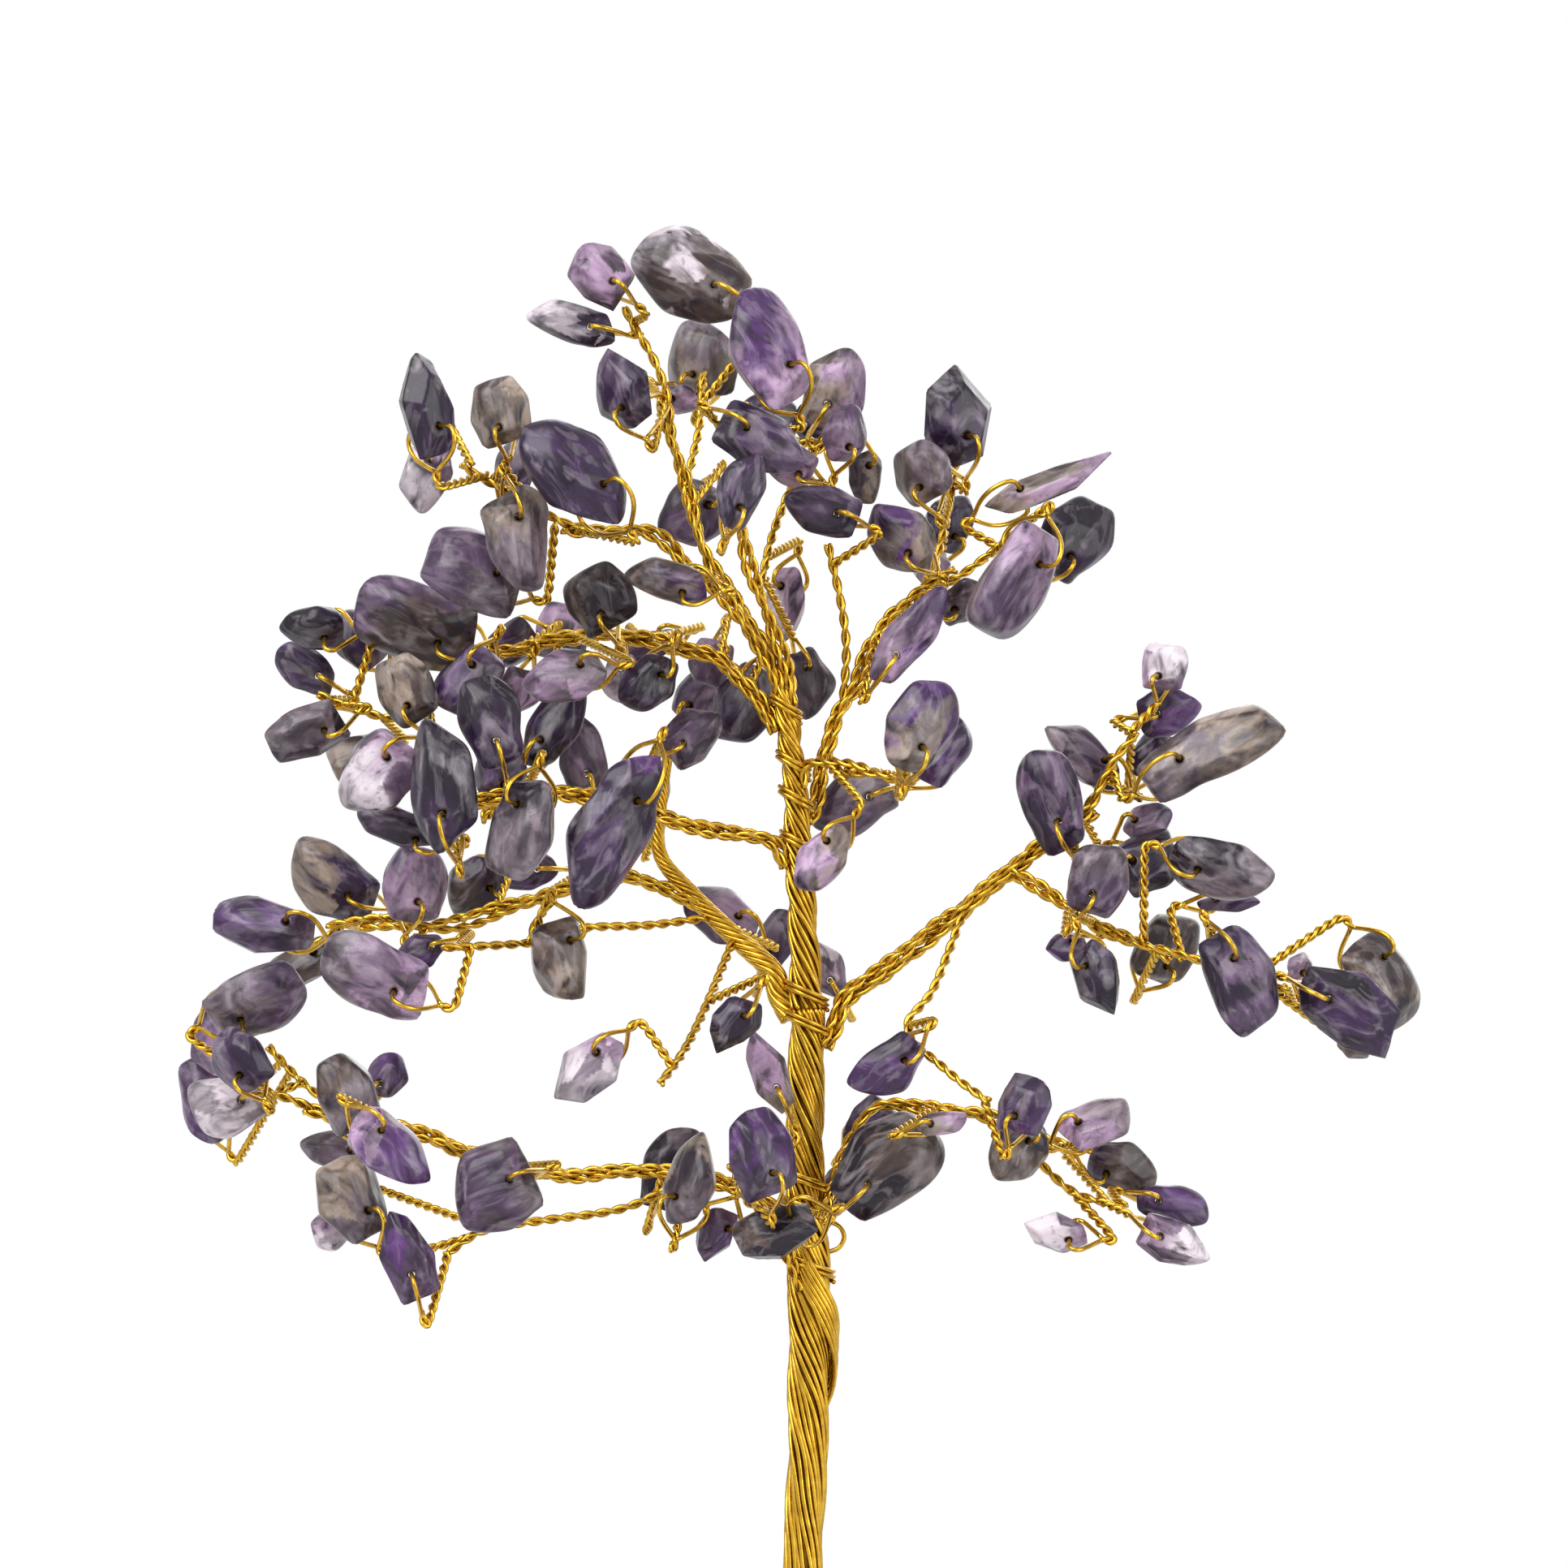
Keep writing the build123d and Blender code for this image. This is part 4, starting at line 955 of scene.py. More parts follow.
@dataclass
class Stone:
    """One drilled stone, read from its CAD solid."""

    node: str
    points: np.ndarray
    triangles: np.ndarray
    hole: np.ndarray = field(init=False)
    along: np.ndarray = field(init=False)
    across: np.ndarray = field(init=False)
    axis: np.ndarray = field(init=False)
    own: np.ndarray = field(init=False)
    normals: np.ndarray = field(init=False)
    depths: np.ndarray = field(init=False)
    neck: np.ndarray = field(init=False)

    def __post_init__(self) -> None:
        """Find the drilled hole, the stone's own axes and its outer faces."""
        a, b, c = (self.points[self.triangles[:, k]] for k in range(3))
        cross = np.cross(b - a, c - a)
        solid = np.linalg.norm(cross, axis=1) > MERGE * MERGE
        a, cross, triangles = a[solid], cross[solid], self.triangles[solid]
        normals = unit(cross)
        offsets = (normals * a).sum(1)
        rise = (self.points @ normals.T - offsets).max(0)
        outer = rise < CUT.flat_limit
        drilled = rise > CUT.wall_limit
        walls = normals[drilled]
        wall_points = self.points[np.unique(triangles[drilled])]
        sizes = np.linalg.norm(cross[drilled], axis=1)
        lead = walls[sizes.argmax()]
        side = walls[(abs(walls @ lead) + (sizes < sizes.max() * CUT.wall_share)).argmin()]
        self.axis = unit(np.cross(lead, side))
        middle = self.points.mean(0) - wall_points.mean(0)
        choices = np.array([lead, -lead, side, -side])
        self.along = choices[(choices @ middle).argmax()]
        self.across = np.cross(self.axis, self.along)
        self.own = np.stack([self.along, self.across, self.axis])
        reach = wall_points @ self.own.T
        self.hole = (reach.min(0) + reach.max(0)) / 2 @ self.own
        depths = offsets[outer] - normals[outer] @ self.hole
        planes = np.column_stack([normals[outer], depths / MERGE / CUT.plane_step])
        planes = np.round(planes, CUT.plane_digits)
        _, keep = np.unique(planes, axis=0, return_index=True)
        self.normals = normals[outer][keep]
        self.depths = depths[keep]
        back = ((self.points - self.hole) @ self.along).min()
        self.neck = self.hole + self.along * (back - LOOP_REACH)

    def tones(self) -> tuple:
        """Look up the stone's two tones by its place in the front view.

        Returns:
            The two tones, linear, and the seed that goes with the place.
        """
        middle = (self.points.min(0) + self.points.max(0)) / 2
        x_px = TRUNK_PX + middle[0] / PIXEL
        y_px = FOOT_PX - (middle[2] - FOOT_LEVEL) / PIXEL
        rows = [(math.hypot(x - x_px, y - y_px), letters, x + CUT.seed_step * y)
                for letters, places in STONE_TONES.items() for x, y in places]
        _, letters, seed = min(rows)
        return linear(TONE_LETTERS[letters[0]].value), linear(TONE_LETTERS[letters[1]].value), seed

    def from_axis(self, points: np.ndarray) -> tuple:
        """Place points by the line of the drilled hole.

        Args:
            points: points by row.
        Returns:
            How high each lies along the line, and how far aside of it.
        """
        from_hole = points - self.hole
        height = from_hole @ self.axis
        return height, np.linalg.norm(from_hole - height[:, None] * self.axis, axis=1)

    def miss(self, points: np.ndarray) -> float:
        """How far a wire stays from the line of the drilled hole.

        Args:
            points: points of the wire's CAD solid.
        Returns:
            The mean distance of its nearest points, in metres, a little more for a far wire.
        """
        _, aside = self.from_axis(points)
        away = np.linalg.norm(points - self.hole, axis=1)
        return float(np.sort(aside + FAR_SHARE * away)[:CUT.near_points].mean())

    def form(self, rng: np.random.Generator) -> StoneForm:
        """The stone's CAD faces, with seeded extra faces that clip its corners and seeded waves.

        Args:
            rng: the stone's own random numbers.
        Returns:
            The form.
        """
        extra = unit(rng.normal(size=(CUT.extra_facets, 3)))
        support = ((self.points - self.hole) @ extra.T).max(0)
        clip = support * rng.uniform(*CUT.facet_depth_shares, CUT.extra_facets)
        depths = np.concatenate([self.depths, clip])
        lumps = unit(rng.normal(size=(CUT.lumps, 3)))
        lumps = lumps * rng.uniform(*CUT.lump_turns, (CUT.lumps, 1))
        lump_phases = rng.uniform(0, 2 * math.pi, CUT.lumps)
        ripples = unit(rng.normal(size=(CUT.ripples, 3)))
        ripples = ripples * rng.uniform(*CUT.ripple_turns, (CUT.ripples, 1))
        ripple_phases = rng.uniform(0, 2 * math.pi, CUT.ripples)
        # Seeded lightness per face: painted facet light, and a shift of the stone's own tone
        lights = rng.uniform(0, 1, len(depths))
        normals = np.concatenate([self.normals, extra])
        return StoneForm(normals, depths, lumps, lump_phases, ripples, ripple_phases, lights)

    def grid(self) -> tuple:
        """Points of the rounded stone with its hole open.

        A point lies at hole + reach(u) * u, where the direction u tilts from one end of the hole to the
        other and turns round the hole. The last rows run back through the hole.

        Returns:
            Points by row, faces, and per point the two colours, darkened in the hole as painted shade, how
            far it lies along the stone, its place in the stone's own axes and how light its face is, as
            painted facet light and own tone.
        """
        first, second, seed = self.tones()
        rng = np.random.default_rng(seed)
        form = self.form(rng)
        top, low = form.reach(self.axis[None])[0], form.reach(-self.axis[None])[0]
        start = math.atan2(CUT.hole_radius, top)
        stop = math.pi - math.atan2(CUT.hole_radius, low)
        share = np.linspace(0, 1, CUT.rows)[:, None]
        crowded = share + CUT.crowd_share * np.sin(2 * math.pi * share) / (2 * math.pi)
        tilt = start + (stop - start) * crowded
        even = (np.arange(CUT.round_points) * 2 * math.pi / CUT.round_points)[None]
        turn = even - CUT.crowd_share * np.sin(even)
        ring = (np.cos(turn)[..., None] * self.along + np.sin(turn)[..., None] * self.across)
        rays = np.cos(tilt)[..., None] * self.axis + np.sin(tilt)[..., None] * ring
        outer = self.hole + rays * form.reach(rays)[..., None]
        # The hole's rows take the lowest face lightness: more painted shade in the hole
        light = np.concatenate([form.light(rays), np.zeros((CUT.hole_rows, CUT.round_points))]).ravel()
        depth = CUT.hole_depth_share
        heights = np.linspace(-depth * low, depth * top, CUT.hole_rows)[:, None, None]
        inner = self.hole + self.axis * heights + ring * CUT.hole_radius * CUT.hole_width_share
        points = self.fitted(np.concatenate([outer, inner]))
        rows = np.arange(len(points))
        numbers = np.arange(points.shape[0] * points.shape[1]).reshape(points.shape[:2])
        below, beside = np.roll(numbers, -1, 0), np.roll(numbers, -1, 1)
        across_below = np.roll(below, -1, 1)
        faces = np.stack([numbers, below, across_below, beside], -1).reshape(-1, 4)
        points = points.reshape(-1, 3)
        lean = unit(self.along + rng.normal(size=3) * CUT.lean_share)
        zone = (points - self.hole) @ lean
        # The hole's mouth rows and the rows through it are painted dark: painted shade inside the drilled
        # hole
        skin = np.repeat((rows > 0) & (rows < CUT.rows - 1), CUT.round_points)
        shade = np.where(skin, 1.0, CUT.hole_shade)[:, None]
        inside = (points - self.hole) @ self.own.T + rng.uniform(-1, 1, 3)
        whole = np.ones(len(points))
        extras = {
            "tint_first": np.column_stack([first * shade, whole]),
            "tint_second": np.column_stack([second * shade, whole]),
            "zone": (zone - zone.min()) / (zone.max() - zone.min()),
            "inside": np.column_stack([inside, whole]),
            "facet": light,
        }
        return points, [faces], extras

    def fitted(self, grid: np.ndarray) -> np.ndarray:
        """Stretch the rounded stone from its hole until it fills its CAD box in its own axes.

        A stone that turns on its wire, or that another branch swings past, is drawn in to its CAD faces,
        and one of them a little further, so that it clears its neighbours.

        Args:
            grid: the stone's points.
        Returns:
            The points, stretched apart on each side of the hole.
        """
        local = (grid - self.hole) @ self.own.T
        cad = (self.points - self.hole) @ self.own.T
        flat = local.reshape(-1, 3)
        up = cad.max(0) / flat.max(0)
        down = cad.min(0) / flat.min(0)
        full = local * np.where(local > 0, up, down)
        if not self.node.startswith(CUT.snug_nodes):
            return self.hole + (full * CUT.plump_shares) @ self.own
        full = full @ self.own
        depths = self.depths - CUT.room if self.node == CUT.roomy_node else self.depths
        over = np.maximum((full @ self.normals.T / depths).max(-1), 1)
        return self.hole + full / over[..., None]


@dataclass
class Stones:
    """All stones of the tree, by CAD node."""

    rig: Rig
    material: bpy.types.Material
    stones: list = field(default_factory=list)

    def build(self) -> None:
        """Build every chip node as rounded, drilled stones."""
        for node in sorted(self.rig.home):
            if "chip" not in node:
                continue
            surface = Surface()
            for points, triangles in islands(node):
                stone = Stone(node, points, triangles)
                self.stones.append(stone)
                grid, faces, extras = stone.grid()
                surface.add(grid, faces, **extras)
            self.dress(surface, node)

    def dress(self, surface: Surface, node: str) -> None:
        """Make the piece of a chip node and fix it to its body."""
        piece = surface.piece(node + "_stones", self.material)
        self.rig.mount(piece, self.rig.home[node], node, "stone")


@dataclass
class Trunk:
    """The trunk: a stem in darker gold as painted shade between the outer wires, two lengths of twisted
    outer wires, a band that crosses them and a small eye.
    """

    rig: Rig
    gold: bpy.types.Material
    # The stem's darker gold: painted shade between the outer wires
    shade: bpy.types.Material
    radius: float = 0.0026
    foot: float = 0.024
    sink: float = 0.009
    route_px: tuple = ((990, 1932), (996, 1750), (999, 1610), (992, 1490), (992, 1400), (995, 1250),
                       (990, 1150), (984, 1040), (980, 960), (969, 880), (964, 842))
    girth_shares: tuple = (1.0, 1.0, 1.12, 0.98, 0.95, 0.88, 0.76, 0.70, 0.64, 0.58, 0.54)
    split_px: int = 1243
    stem_stations: int = 80
    stem_sides: int = 24
    stem_share: float = 1.6
    lower_strands: int = 20
    lower_stations: int = 170
    upper_strands: int = 12
    upper_stations: int = 120
    lay_px: tuple = (1932, 1800, 1700, 1600, 1450, 1243, 842)
    lay_angles: tuple = (11.0, 15.0, 25.0, 30.0, 28.0, 30.0, 36.0)
    lobes: int = 3
    lobe_depth: float = 0.00045
    lobe_start: float = 0.6
    lobe_power: int = 3
    wander_angles: tuple = (0.07, 0.05)
    wander_rates: tuple = (210.0, 520.0)
    wander_shift: float = 2.3
    swell_share: float = 0.22
    swell_rate: float = 330.0
    swell_shift: float = 1.7
    strand_seed: int = 5
    top_taper: float = 0.005
    top_share: float = 0.72
    band_px: tuple = (1515, 1680)
    band_turn: tuple = (240.0, 388.0)
    band_wires: int = 6
    band_step: float = 0.00105
    band_swell: float = 0.0010
    band_power: float = 0.6
    band_dip_share: float = 0.1
    band_stations: int = 60
    eye_route_px: tuple = ((1012, 1508), (1026, 1507), (1036, 1513), (1040, 1525), (1034, 1537),
                           (1022, 1542), (1012, 1542))
    eye_stations: int = 40
    levels: list = field(init=False)
    sides: list = field(init=False)
    girths: list = field(init=False)

    def __post_init__(self) -> None:
        """Lay the trunk's route in the frame, from its end in the base upwards."""
        self.levels = [level(FOOT_PX) - self.foot - self.sink] + [level(y) for _, y in self.route_px]
        self.sides = [0.0] + [(x - TRUNK_PX) * PIXEL for x, _ in self.route_px]
        self.girths = [self.girth_shares[0]] + list(self.girth_shares)

    def middle(self, heights: np.ndarray) -> np.ndarray:
        """Middle line of the trunk.

        Args:
            heights: heights in metres.
        Returns:
            One point per height.
        """
        heights = np.asarray(heights, float)
        sides = np.interp(heights, self.levels, self.sides)
        return np.stack([sides, np.zeros_like(heights), heights], -1)

    def skin(self, heights: np.ndarray) -> np.ndarray:
        """Radius of the trunk over its outer wires at the heights."""
        return np.interp(heights, self.levels, self.girths) * self.radius

    def build(self) -> None:
        """Build the stem, the outer wires below and above the split, the band and the eye."""
        split = level(self.split_px)
        foot, top = self.levels[0], self.levels[-1]
        stem = Surface()
        self.add_stem(stem, foot, top)
        # The stem takes the darker gold: painted shade in the gaps between the outer wires
        self.dress(stem, "trunk_stem", "trunk_core", self.shade)
        lower = Surface()
        self.add_strands(lower, foot, split, self.lower_strands, self.lower_stations)
        self.add_band(lower)
        self.dress(lower, "trunk_lower_wires", "trunk_strands_lower", self.gold)
        upper = Surface()
        self.add_strands(upper, split, top, self.upper_strands, self.upper_stations)
        self.dress(upper, "trunk_upper_wires", "trunk_strands_upper", self.gold)
        eye = Surface()
        bends = np.array([spot(x, y) for x, y in self.eye_route_px])
        eye.add_wires(spline(bends, self.eye_stations)[None])
        self.dress(eye, "trunk_eye_wire", "trunk_eye", self.gold)

    def dress(self, surface: Surface, name: str, node: str, material: bpy.types.Material) -> None:
        """Make a piece of the trunk and fix it to the trunk's body."""
        self.rig.mount(surface.piece(name, material), "trunk", node, "wire")

    def add_stem(self, surface: Surface, low: float, high: float) -> None:
        """Add the stem: a round section along the trunk's middle line, under the outer wires.

        Args:
            surface: where it goes.
            low: lower height.
            high: upper height.
        """
        heights = np.linspace(low, high, self.stem_stations)
        inner = self.skin(heights) - self.stem_share * WIRE_RADIUS - self.lobe_depth / 2
        surface.add(*sweep(self.middle(heights)[None], inner[None], self.stem_sides))

    def add_strands(self, surface: Surface, low: float, high: float, count: int, stations: int) -> None:
        """Add a length of the trunk's outer wires, twisted to the left and a little uneven.

        A wire goes round by tan(lay) / radius per height. Its radius dips by its place between the
        trunk's lobes, which are the smaller bundles that the trunk is twisted from.

        Args:
            surface: where they go.
            low: lower height.
            high: upper height.
            count: wires.
            stations: points along each wire.
        """
        heights = np.linspace(low, high, stations)
        lay = np.radians(np.interp(heights, [level(y) for y in self.lay_px], self.lay_angles))
        rate = np.tan(lay) / self.skin(heights)
        turn = np.concatenate([[0], np.cumsum(np.diff(heights) * (rate[1:] + rate[:-1]) / 2)])
        rng = np.random.default_rng(self.strand_seed)
        phases = rng.uniform(0, 2 * math.pi, (count, 1))
        slow = np.sin(heights * self.wander_rates[0] + phases)
        quick = np.sin(heights * self.wander_rates[1] + self.wander_shift * phases)
        wander = self.wander_angles[0] * slow + self.wander_angles[1] * quick
        places = np.arange(count)[:, None] * 2 * math.pi / count
        angles = places - turn + wander
        swell = 1 + self.swell_share * np.sin(heights * self.swell_rate + self.swell_shift * phases)
        dip = self.lobe_depth * abs(np.sin(places * self.lobes / 2 + self.lobe_start)) ** self.lobe_power
        top = self.levels[-1]
        taper = np.interp(heights, [top - self.top_taper, top], [1.0, self.top_share])
        radius = self.skin(heights) * taper - WIRE_RADIUS * swell - dip
        surface.add_wires(self.middle(heights) + round_about(angles) * radius[..., None])

    def add_band(self, surface: Surface) -> None:
        """Add the flat band of wires that crosses the trunk's front below the branches.

        Each wire's middle line goes round the trunk by an even angle while it falls, and its radius swells
        by a sine in between, so that both ends dip under the outer wires.

        Args:
            surface: where it goes.
        """
        share = np.linspace(0, 1, self.band_stations)
        span = math.radians(self.band_turn[1] - self.band_turn[0])
        out = round_about(math.radians(self.band_turn[0]) + share * span)
        start, stop = level(self.band_px[0]), level(self.band_px[1])
        paths = []
        for k in range(self.band_wires):
            height = start + (stop - start) * share - k * self.band_step
            swell = self.band_swell * np.sin(math.pi * share) ** self.band_power - WIRE_RADIUS
            swell = swell * (1 - self.band_dip_share * (k % 2))
            paths.append(self.middle(height) + out * (self.skin(height) + swell)[:, None])
        surface.add_wires(np.array(paths))


@dataclass
class Branches:
    """The limbs: bundles of wires, with the wraps that hold the side branches to the trunk."""

    rig: Rig
    trunk: Trunk
    material: bpy.types.Material
    radius: float = 0.0010
    reach: float = 0.026
    root_drop: float = 0.0028
    root_sink_share: float = 0.2
    wrap_play: float = 0.0003
    wrap_steps: int = 8
    wrap_turns: int = 2
    wrap_pitch: float = 0.00066
    wrap_slant: float = 0.0013
    wrap_stations: int = 64
    snug_play: float = 0.00005
    rope_radius: float = 0.0015
    rope_lay: float = math.radians(25.0)
    rope_wires: tuple = (4, 9)
    rope_wire_share: float = 1.04
    rope_core_share: float = 0.25
    rope_core_sides: int = 10
    pair_pitch: float = 0.0044
    pair_stations: int = 12
    pair_lay: float = 0.022
    pair_end_shares: tuple = (0.55, 0.98)
    pair_sway: float = 0.5
    pair_sway_rate: float = 6.0
    pair_room_shares: tuple = (0.86, 0.2)
    pair_room_rate: float = 9.0

    def paths(self) -> dict:
        """Middle lines of all limbs, as the CAD part lays them.

        Returns:
            Points by row for each limb's name.
        """
        paths = {}
        for name, limb in LIMBS.items():
            points = np.array([spot(x, y) for x, y in limb.route_px])
            place = points[0]
            if limb.parent != "trunk":
                place = nearest_on(paths[limb.parent], points[0])
            lengths = run_of(points)
            points[:, 1] = place[1] + (limb.reach_share * self.reach - place[1]) * lengths / lengths[-1]
            if limb.parent != "trunk":
                points[0] = place
            elif limb.branch != "trunk":
                points[0] = self.wrap_side(points[0], points[1])
            if limb.parent == "trunk":
                points = np.concatenate([[self.trunk_foot(limb, points[0])], points])
            paths[name] = points
        return paths

    def wrap_side(self, start: np.ndarray, after: np.ndarray) -> np.ndarray:
        """Where a side branch leaves the CAD part's wrap.

        Args:
            start: the branch's first point.
            after: its second point.
        Returns:
            The point on the wrap's outer side.
        """
        middle = self.trunk.middle(start[2])
        out = unit((after - middle) * TOP_VIEW)
        inner = (self.trunk.skin(start[2]) + self.wrap_play) / math.cos(math.pi / self.wrap_steps)
        return middle + out * (float(inner + WIRE_RADIUS) + WIRE_RADIUS + self.wrap_play / 2)

    def trunk_foot(self, limb: LimbRoute, start: np.ndarray) -> np.ndarray:
        """Where a limb's wires leave the trunk's wires, below the limb's first point.

        Args:
            limb: the limb.
            start: its first point.
        Returns:
            A point at the trunk's skin, or inside the trunk for a limb that carries on the trunk's wires.
        """
        middle, lower = self.trunk.middle(start[2]), self.trunk.middle(start[2] - self.root_drop)
        aside = (start - middle) * TOP_VIEW
        if limb.branch == "trunk":
            return lower + aside
        sink = self.root_sink_share * limb.girth_share * self.radius
        return lower + unit(aside) * (self.trunk.skin(lower[2]) - sink)

    def build(self) -> None:
        """Build every limb node as bundles of twisted wires, with its wrap round the trunk."""
        paths = self.paths()
        for home in [name for name, limb in LIMBS.items() if limb.parent == "trunk"]:
            surface = Surface()
            for name in LIMBS:
                if home_of(name) == home:
                    girth = LIMBS[name].girth_share * self.radius
                    add = self.add_pairs if girth < self.rope_radius else self.add_rope
                    add(surface, paths[name], girth)
            if LIMBS[home].branch != "trunk":
                self.add_wrap(surface, level(LIMBS[home].route_px[0][1]))
            self.dress(surface, home)

    def dress(self, surface: Surface, home: str) -> None:
        """Make a branch's piece and fix it to the branch's body."""
        piece = surface.piece(home + "_bundle", self.material)
        self.rig.mount(piece, LIMBS[home].branch, home + "_limbs", "wire")

    def add_rope(self, surface: Surface, points: np.ndarray, girth: float) -> None:
        """Add a thick limb: a core and a layer of wires laid round it to the left.

        A wire's middle line is path(s) + r(s) * (cos(a) * n + sin(a) * b) with a falling by tan(lay) / r
        per length.

        Args:
            surface: where it goes.
            points: the limb's corner points.
            girth: radius at the limb's root.
        """
        path = spline(points, LIMB_STATIONS)
        run = run_of(points)
        share = np.linspace(0, run[-1], LIMB_STATIONS)
        outer = np.interp(share, run, np.linspace(girth, TWIG_RADIUS, len(points)))
        fitting = math.pi / math.asin(WIRE_RADIUS / (girth - WIRE_RADIUS / 2))
        count = int(np.clip(round(fitting), *self.rope_wires))
        wire = outer * math.sin(math.pi / count) / (1 + math.sin(math.pi / count))
        ring = outer - wire
        step = np.linalg.norm(np.gradient(path, axis=0), axis=1)
        turn = -np.cumsum(step * math.tan(self.rope_lay) / ring)
        n, b = carried_frame(path, SIDE_GUIDE)
        angles = turn[None] + (np.arange(count) * 2 * math.pi / count)[:, None]
        paths = path + ring[:, None] * (np.cos(angles)[..., None] * n + np.sin(angles)[..., None] * b)
        surface.add(*sweep(paths, np.tile(wire * self.rope_wire_share, (count, 1)), WIRE_SIDES))
        surface.add(*sweep(path[None], (ring - self.rope_core_share * wire)[None], self.rope_core_sides))

    def add_pairs(self, surface: Surface, points: np.ndarray, girth: float) -> None:
        """Add a thinner limb: loose twisted pairs of wire that wind round each other and end in turn.

        A pair's middle line is path(s) + r(s) * (cos(a) * n + sin(a) * b) with a slowly falling, and its
        two wires turn about that line at one wire's radius.

        Args:
            surface: where it goes.
            points: the limb's corner points.
            girth: radius at the limb's root.
        """
        count = max(int(round((girth / TWIG_RADIUS) ** 2)), 1)
        path = spline(points, LIMB_STATIONS)
        length = np.linalg.norm(np.diff(path, axis=0), axis=1).sum()
        rng = np.random.default_rng(int(length / PIXEL))
        n, b = carried_frame(path, SIDE_GUIDE)
        share = np.linspace(0, 1, LIMB_STATIONS)
        spread = 0 if count == 1 else TWIG_RADIUS / math.sin(math.pi / count)
        for k in range(count):
            stop = 1.0 if k == 0 else rng.uniform(*self.pair_end_shares)
            used = int(stop * (LIMB_STATIONS - 1)) + 1
            start, beat, drift = rng.uniform(0, 2 * math.pi, 3)
            angle = k * 2 * math.pi / count - share * length / self.pair_lay * 2 * math.pi
            angle = angle + self.pair_sway * np.sin(self.pair_sway_rate * share + start)
            beats = self.pair_room_shares[1] * np.sin(self.pair_room_rate * share + beat)
            room = spread * (self.pair_room_shares[0] + beats)
            middle = path + (room * (np.cos(angle) * n.T + np.sin(angle) * b.T)).T
            stations = int(stop * length / self.pair_pitch * self.pair_stations)
            fine = spline(middle[:used], max(stations, self.pair_stations))
            first, second = carried_frame(fine, SIDE_GUIDE)
            phase = drift + np.arange(len(fine)) / self.pair_stations * 2 * math.pi
            offset = ((np.cos(phase) * first.T + np.sin(phase) * second.T) * WIRE_RADIUS).T
            surface.add_wires(np.stack([fine + offset, fine - offset]))

    def add_wrap(self, surface: Surface, height: float) -> None:
        """Add the winding that holds a branch: one wire, twice round the trunk, close to it and slanted.

        Args:
            surface: where it goes.
            height: height of its middle.
        """
        turns = np.linspace(0, self.wrap_turns, self.wrap_stations)
        angle = turns * 2 * math.pi
        climb = (turns / self.wrap_turns - 0.5) * self.wrap_turns * self.wrap_pitch
        rise = climb - self.wrap_slant * np.cos(angle)
        radius = float(self.trunk.skin(height) + self.snug_play + WIRE_RADIUS)
        path = self.trunk.middle(height) + round_about(angle) * radius + UP * rise[:, None]
        surface.add_wires(path[None])


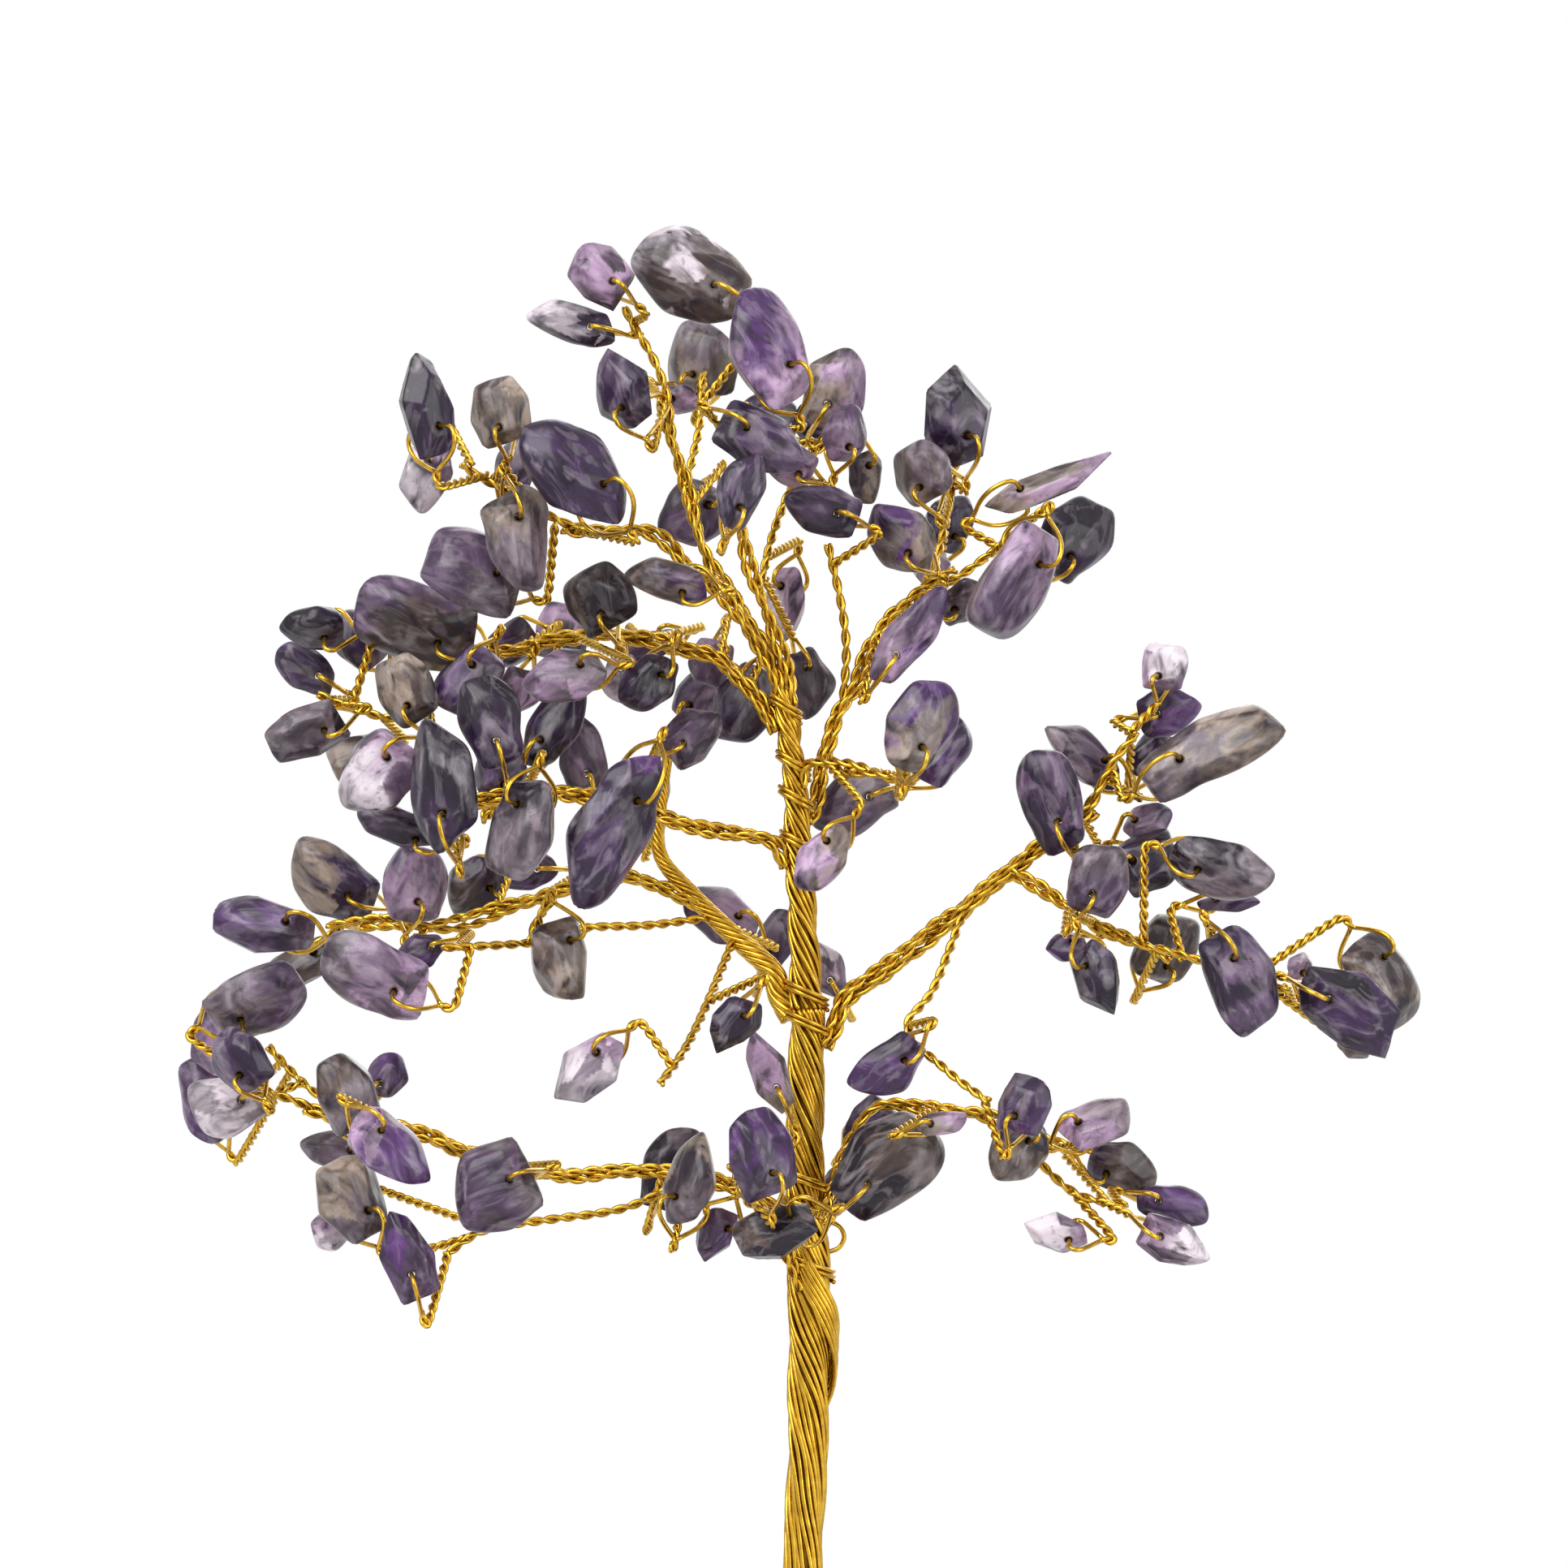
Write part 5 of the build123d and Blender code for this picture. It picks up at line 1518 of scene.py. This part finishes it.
@dataclass
class Twigs:
    """The twigs: one wire per stone, folded through its hole, with the two legs twisted together."""

    rig: Rig
    branches: Branches
    stones: list
    material: bpy.types.Material
    stations: int = 72
    twist_pitch: float = 0.0029
    bend: float = 0.0020
    stub: float = 0.0020
    bend_limit: float = math.radians(60.0)
    guide_share: float = 0.3
    held_limit: float = 0.00045
    near_share: float = 4.0
    mitre: float = 0.0004
    loop_stations: int = 40
    hook_shares: tuple = ((0.95, 0.75), (0.55, 1.04), (0.12, 0.98), (0.0, 0.5),
                          (0.0, -0.5), (0.12, -0.98), (0.55, -1.04), (0.95, -0.75))

    def build(self) -> None:
        """Build every twig node as folded and twisted wires."""
        routes = self.branches.paths()
        home = self.rig.home
        for node in [name for name in sorted(home) if name.endswith("_twigs")]:
            body = home[node]
            mine = [stone for stone in self.stones
                    if body in (home[stone.node], self.rig.parents.get(home[stone.node]))]
            limbs = np.concatenate([spline(route, LIMB_STATIONS) for name, route in routes.items()
                                    if home_of(name) + "_twigs" == node])
            paths = []
            for points, _ in islands(node):
                held = [stone for stone in mine if stone.miss(points) < self.held_limit]
                paths += [self.path(stone, points, limbs) for stone in held]
            surface = Surface()
            surface.add_wires(np.array(paths))
            self.dress(surface, node)

    def dress(self, surface: Surface, node: str) -> None:
        """Make the piece of a twig node and fix it to its body."""
        piece = surface.piece(node + "_wire", self.material)
        self.rig.mount(piece, self.rig.home[node], node, "wire")

    def path(self, stone: Stone, points: np.ndarray, limbs: np.ndarray) -> np.ndarray:
        """One wire up the twig, through its stone and back, the two legs twisted together.

        The twig starts inside its limb and, as in the CAD part, runs straight to the stone or bends to
        the stone's own direction first. The legs are curve(t) +- offset * (cos(p) * n + sin(p) * b) with
        p growing from the neck to the root.

        Args:
            stone: the stone that the wire holds.
            points: the points of the twig's CAD solid.
            limbs: points along the limbs that the twig may grow from.
        Returns:
            The wire's middle line by row.
        """
        gaps = np.linalg.norm(points[:, None] - limbs[None], axis=2)
        gaps += FAR_SHARE * np.linalg.norm(points - stone.hole, axis=1)[:, None]
        root = limbs[gaps.min(0).argmin()]
        corners = [root, stone.neck]
        if unit(stone.neck - root) @ stone.along < math.cos(self.bend_limit):
            corners.insert(1, stone.neck - stone.along * self.stub)
        curve = rounded(np.array(corners), self.bend, self.stations)
        length = np.linalg.norm(np.diff(curve, axis=0), axis=1).sum()
        guide = stone.axis + self.guide_share * stone.across
        n = carried_frame(curve[::-1], guide)[0][::-1]
        b = np.cross(unit(np.gradient(curve, axis=0)), n)
        phase = np.linspace(1, 0, self.stations)[:, None] * length / self.twist_pitch * 2 * math.pi
        offset = (np.cos(phase) * n + np.sin(phase) * b) * WIRE_RADIUS
        bends = [curve[-1] + offset[-1], *self.hook(stone, points), curve[-1] - offset[-1]]
        loop = spline(np.array(bends), self.loop_stations)
        return np.concatenate([(curve + offset)[:-1], loop, (curve - offset)[::-1][1:]])

    def hook(self, stone: Stone, points: np.ndarray) -> list:
        """Knots of the loop round the stone's drilled edge, through its hole.

        They are shares of the way from the hole to the stone's edge and of the CAD loop's height.

        Args:
            stone: the stone that the wire holds.
            points: the points of the twig's CAD solid.
        Returns:
            The knots, from one side of the stone to the other.
        """
        height, aside = stone.from_axis(points)
        near = aside < self.near_share * WIRE_RADIUS
        back = (stone.neck - stone.hole) @ stone.along + LOOP_REACH
        highest, lowest = height[near].max() - self.mitre, height[near].min() + self.mitre
        knots = []
        for out, up in self.hook_shares:
            side = stone.axis * (highest if up > 0 else -lowest) * up
            knots.append(stone.hole + stone.along * back * out + side)
        return knots


@dataclass
class Base:
    """The round base, which keeps its CAD shape."""

    material: bpy.types.Material
    node: str = "base"

    def dress(self) -> None:
        """Give the base its wood."""
        base = frame["nodes"][self.node]
        base.data.materials.clear()
        base.data.materials.append(self.material)
        LOG.info("%s: wood", self.node)


@dataclass(frozen=True)
class Lamp:
    """An area light: where it stands, its size and its power."""

    name: str
    place: tuple
    size: float
    power: float


@dataclass
class Studio:
    """White surroundings, lights and camera."""

    lamps: tuple = (
        Lamp("key", (-0.35, -0.55, 0.65), 0.70, 10.0),
        Lamp("fill", (0.60, -0.45, 0.25), 0.60, 3.5),
        Lamp("rim", (0.25, 0.60, 0.50), 0.60, 2.5),
    )
    aim: tuple = (-0.0024, 0.0, 0.1346)
    distance: float = 1.8
    view_width: float = 0.1932
    sensor: float = 36.0
    ambient: tuple = (0.42, 0.42, 0.43)
    white: tuple = (1.0, 1.0, 1.0)
    floor_radius: float = 0.22
    floor_sides: int = 96
    floor_colour: tuple = (0.92, 0.92, 0.92, 1.0)
    floor_roughness: float = 0.9

    def build(self) -> None:
        """Set the world, the lights, the floor and the camera."""
        scene = bpy.context.scene
        scene.view_settings.view_transform = "Standard"
        self.surround(scene)
        for lamp in self.lamps:
            self.hang(scene, lamp)
        self.floor()
        data = bpy.data.cameras.new("camera")
        data.sensor_width = self.sensor
        data.lens = self.sensor * self.distance / self.view_width
        camera = bpy.data.objects.new("camera", data)
        camera.location = Vector(self.aim) - Vector((0, self.distance, 0))
        camera.rotation_euler = (math.pi / 2, 0, 0)
        scene.collection.objects.link(camera)
        scene.camera = camera

    def hang(self, scene: bpy.types.Scene, lamp: Lamp) -> None:
        """Hang a light and turn it to the tree.

        Args:
            scene: the scene.
            lamp: the light's values.
        """
        data = bpy.data.lights.new(lamp.name, "AREA")
        data.energy = lamp.power
        data.size = lamp.size
        light = bpy.data.objects.new(lamp.name, data)
        light.location = lamp.place
        light.rotation_euler = (Vector(self.aim) - light.location).to_track_quat("-Z", "Y").to_euler()
        scene.collection.objects.link(light)

    def surround(self, scene: bpy.types.Scene) -> None:
        """White to the camera, in the shine and through the stones, softer as light.

        Args:
            scene: the scene.
        """
        world = bpy.data.worlds.new("surround")
        world.use_nodes = True
        tree = world.node_tree
        path = tree.nodes.new("ShaderNodeLightPath").outputs
        through = joined(tree, "MAXIMUM", path["Is Camera Ray"], path["Is Transmission Ray"])
        seen = joined(tree, "MAXIMUM", through, path["Is Glossy Ray"])
        shade = mix_colours(tree, seen, self.ambient, self.white)
        tree.links.new(shade, tree.nodes["Background"].inputs["Color"])
        scene.world = world

    def floor(self) -> None:
        """Lay a round white floor under the base that takes its shadow."""
        surface = Surface()
        turn = np.arange(self.floor_sides) * 2 * math.pi / self.floor_sides
        surface.add(round_about(turn) * self.floor_radius, [np.arange(self.floor_sides)[None]])
        material, _, shader = new_material("white_floor")
        shader.inputs["Base Color"].default_value = self.floor_colour
        shader.inputs["Roughness"].default_value = self.floor_roughness
        floor = surface.piece("floor", material)


def main() -> None:
    """Build the tree and its surroundings."""
    rig = Rig()
    gold = GOLD.material("gold_wire")
    trunk = Trunk(rig, gold, PAINTED_SHADE_GOLD.material("painted_shade_wire"))
    branches = Branches(rig, trunk, gold)
    stones = Stones(rig, QUARTZ.material("quartz"))
    stones.build()
    Twigs(rig, branches, stones.stones, gold).build()
    branches.build()
    trunk.build()
    Base(WOOD.material("turned_wood")).dress()
    Studio().build()


if __name__ == "__main__":
    main()
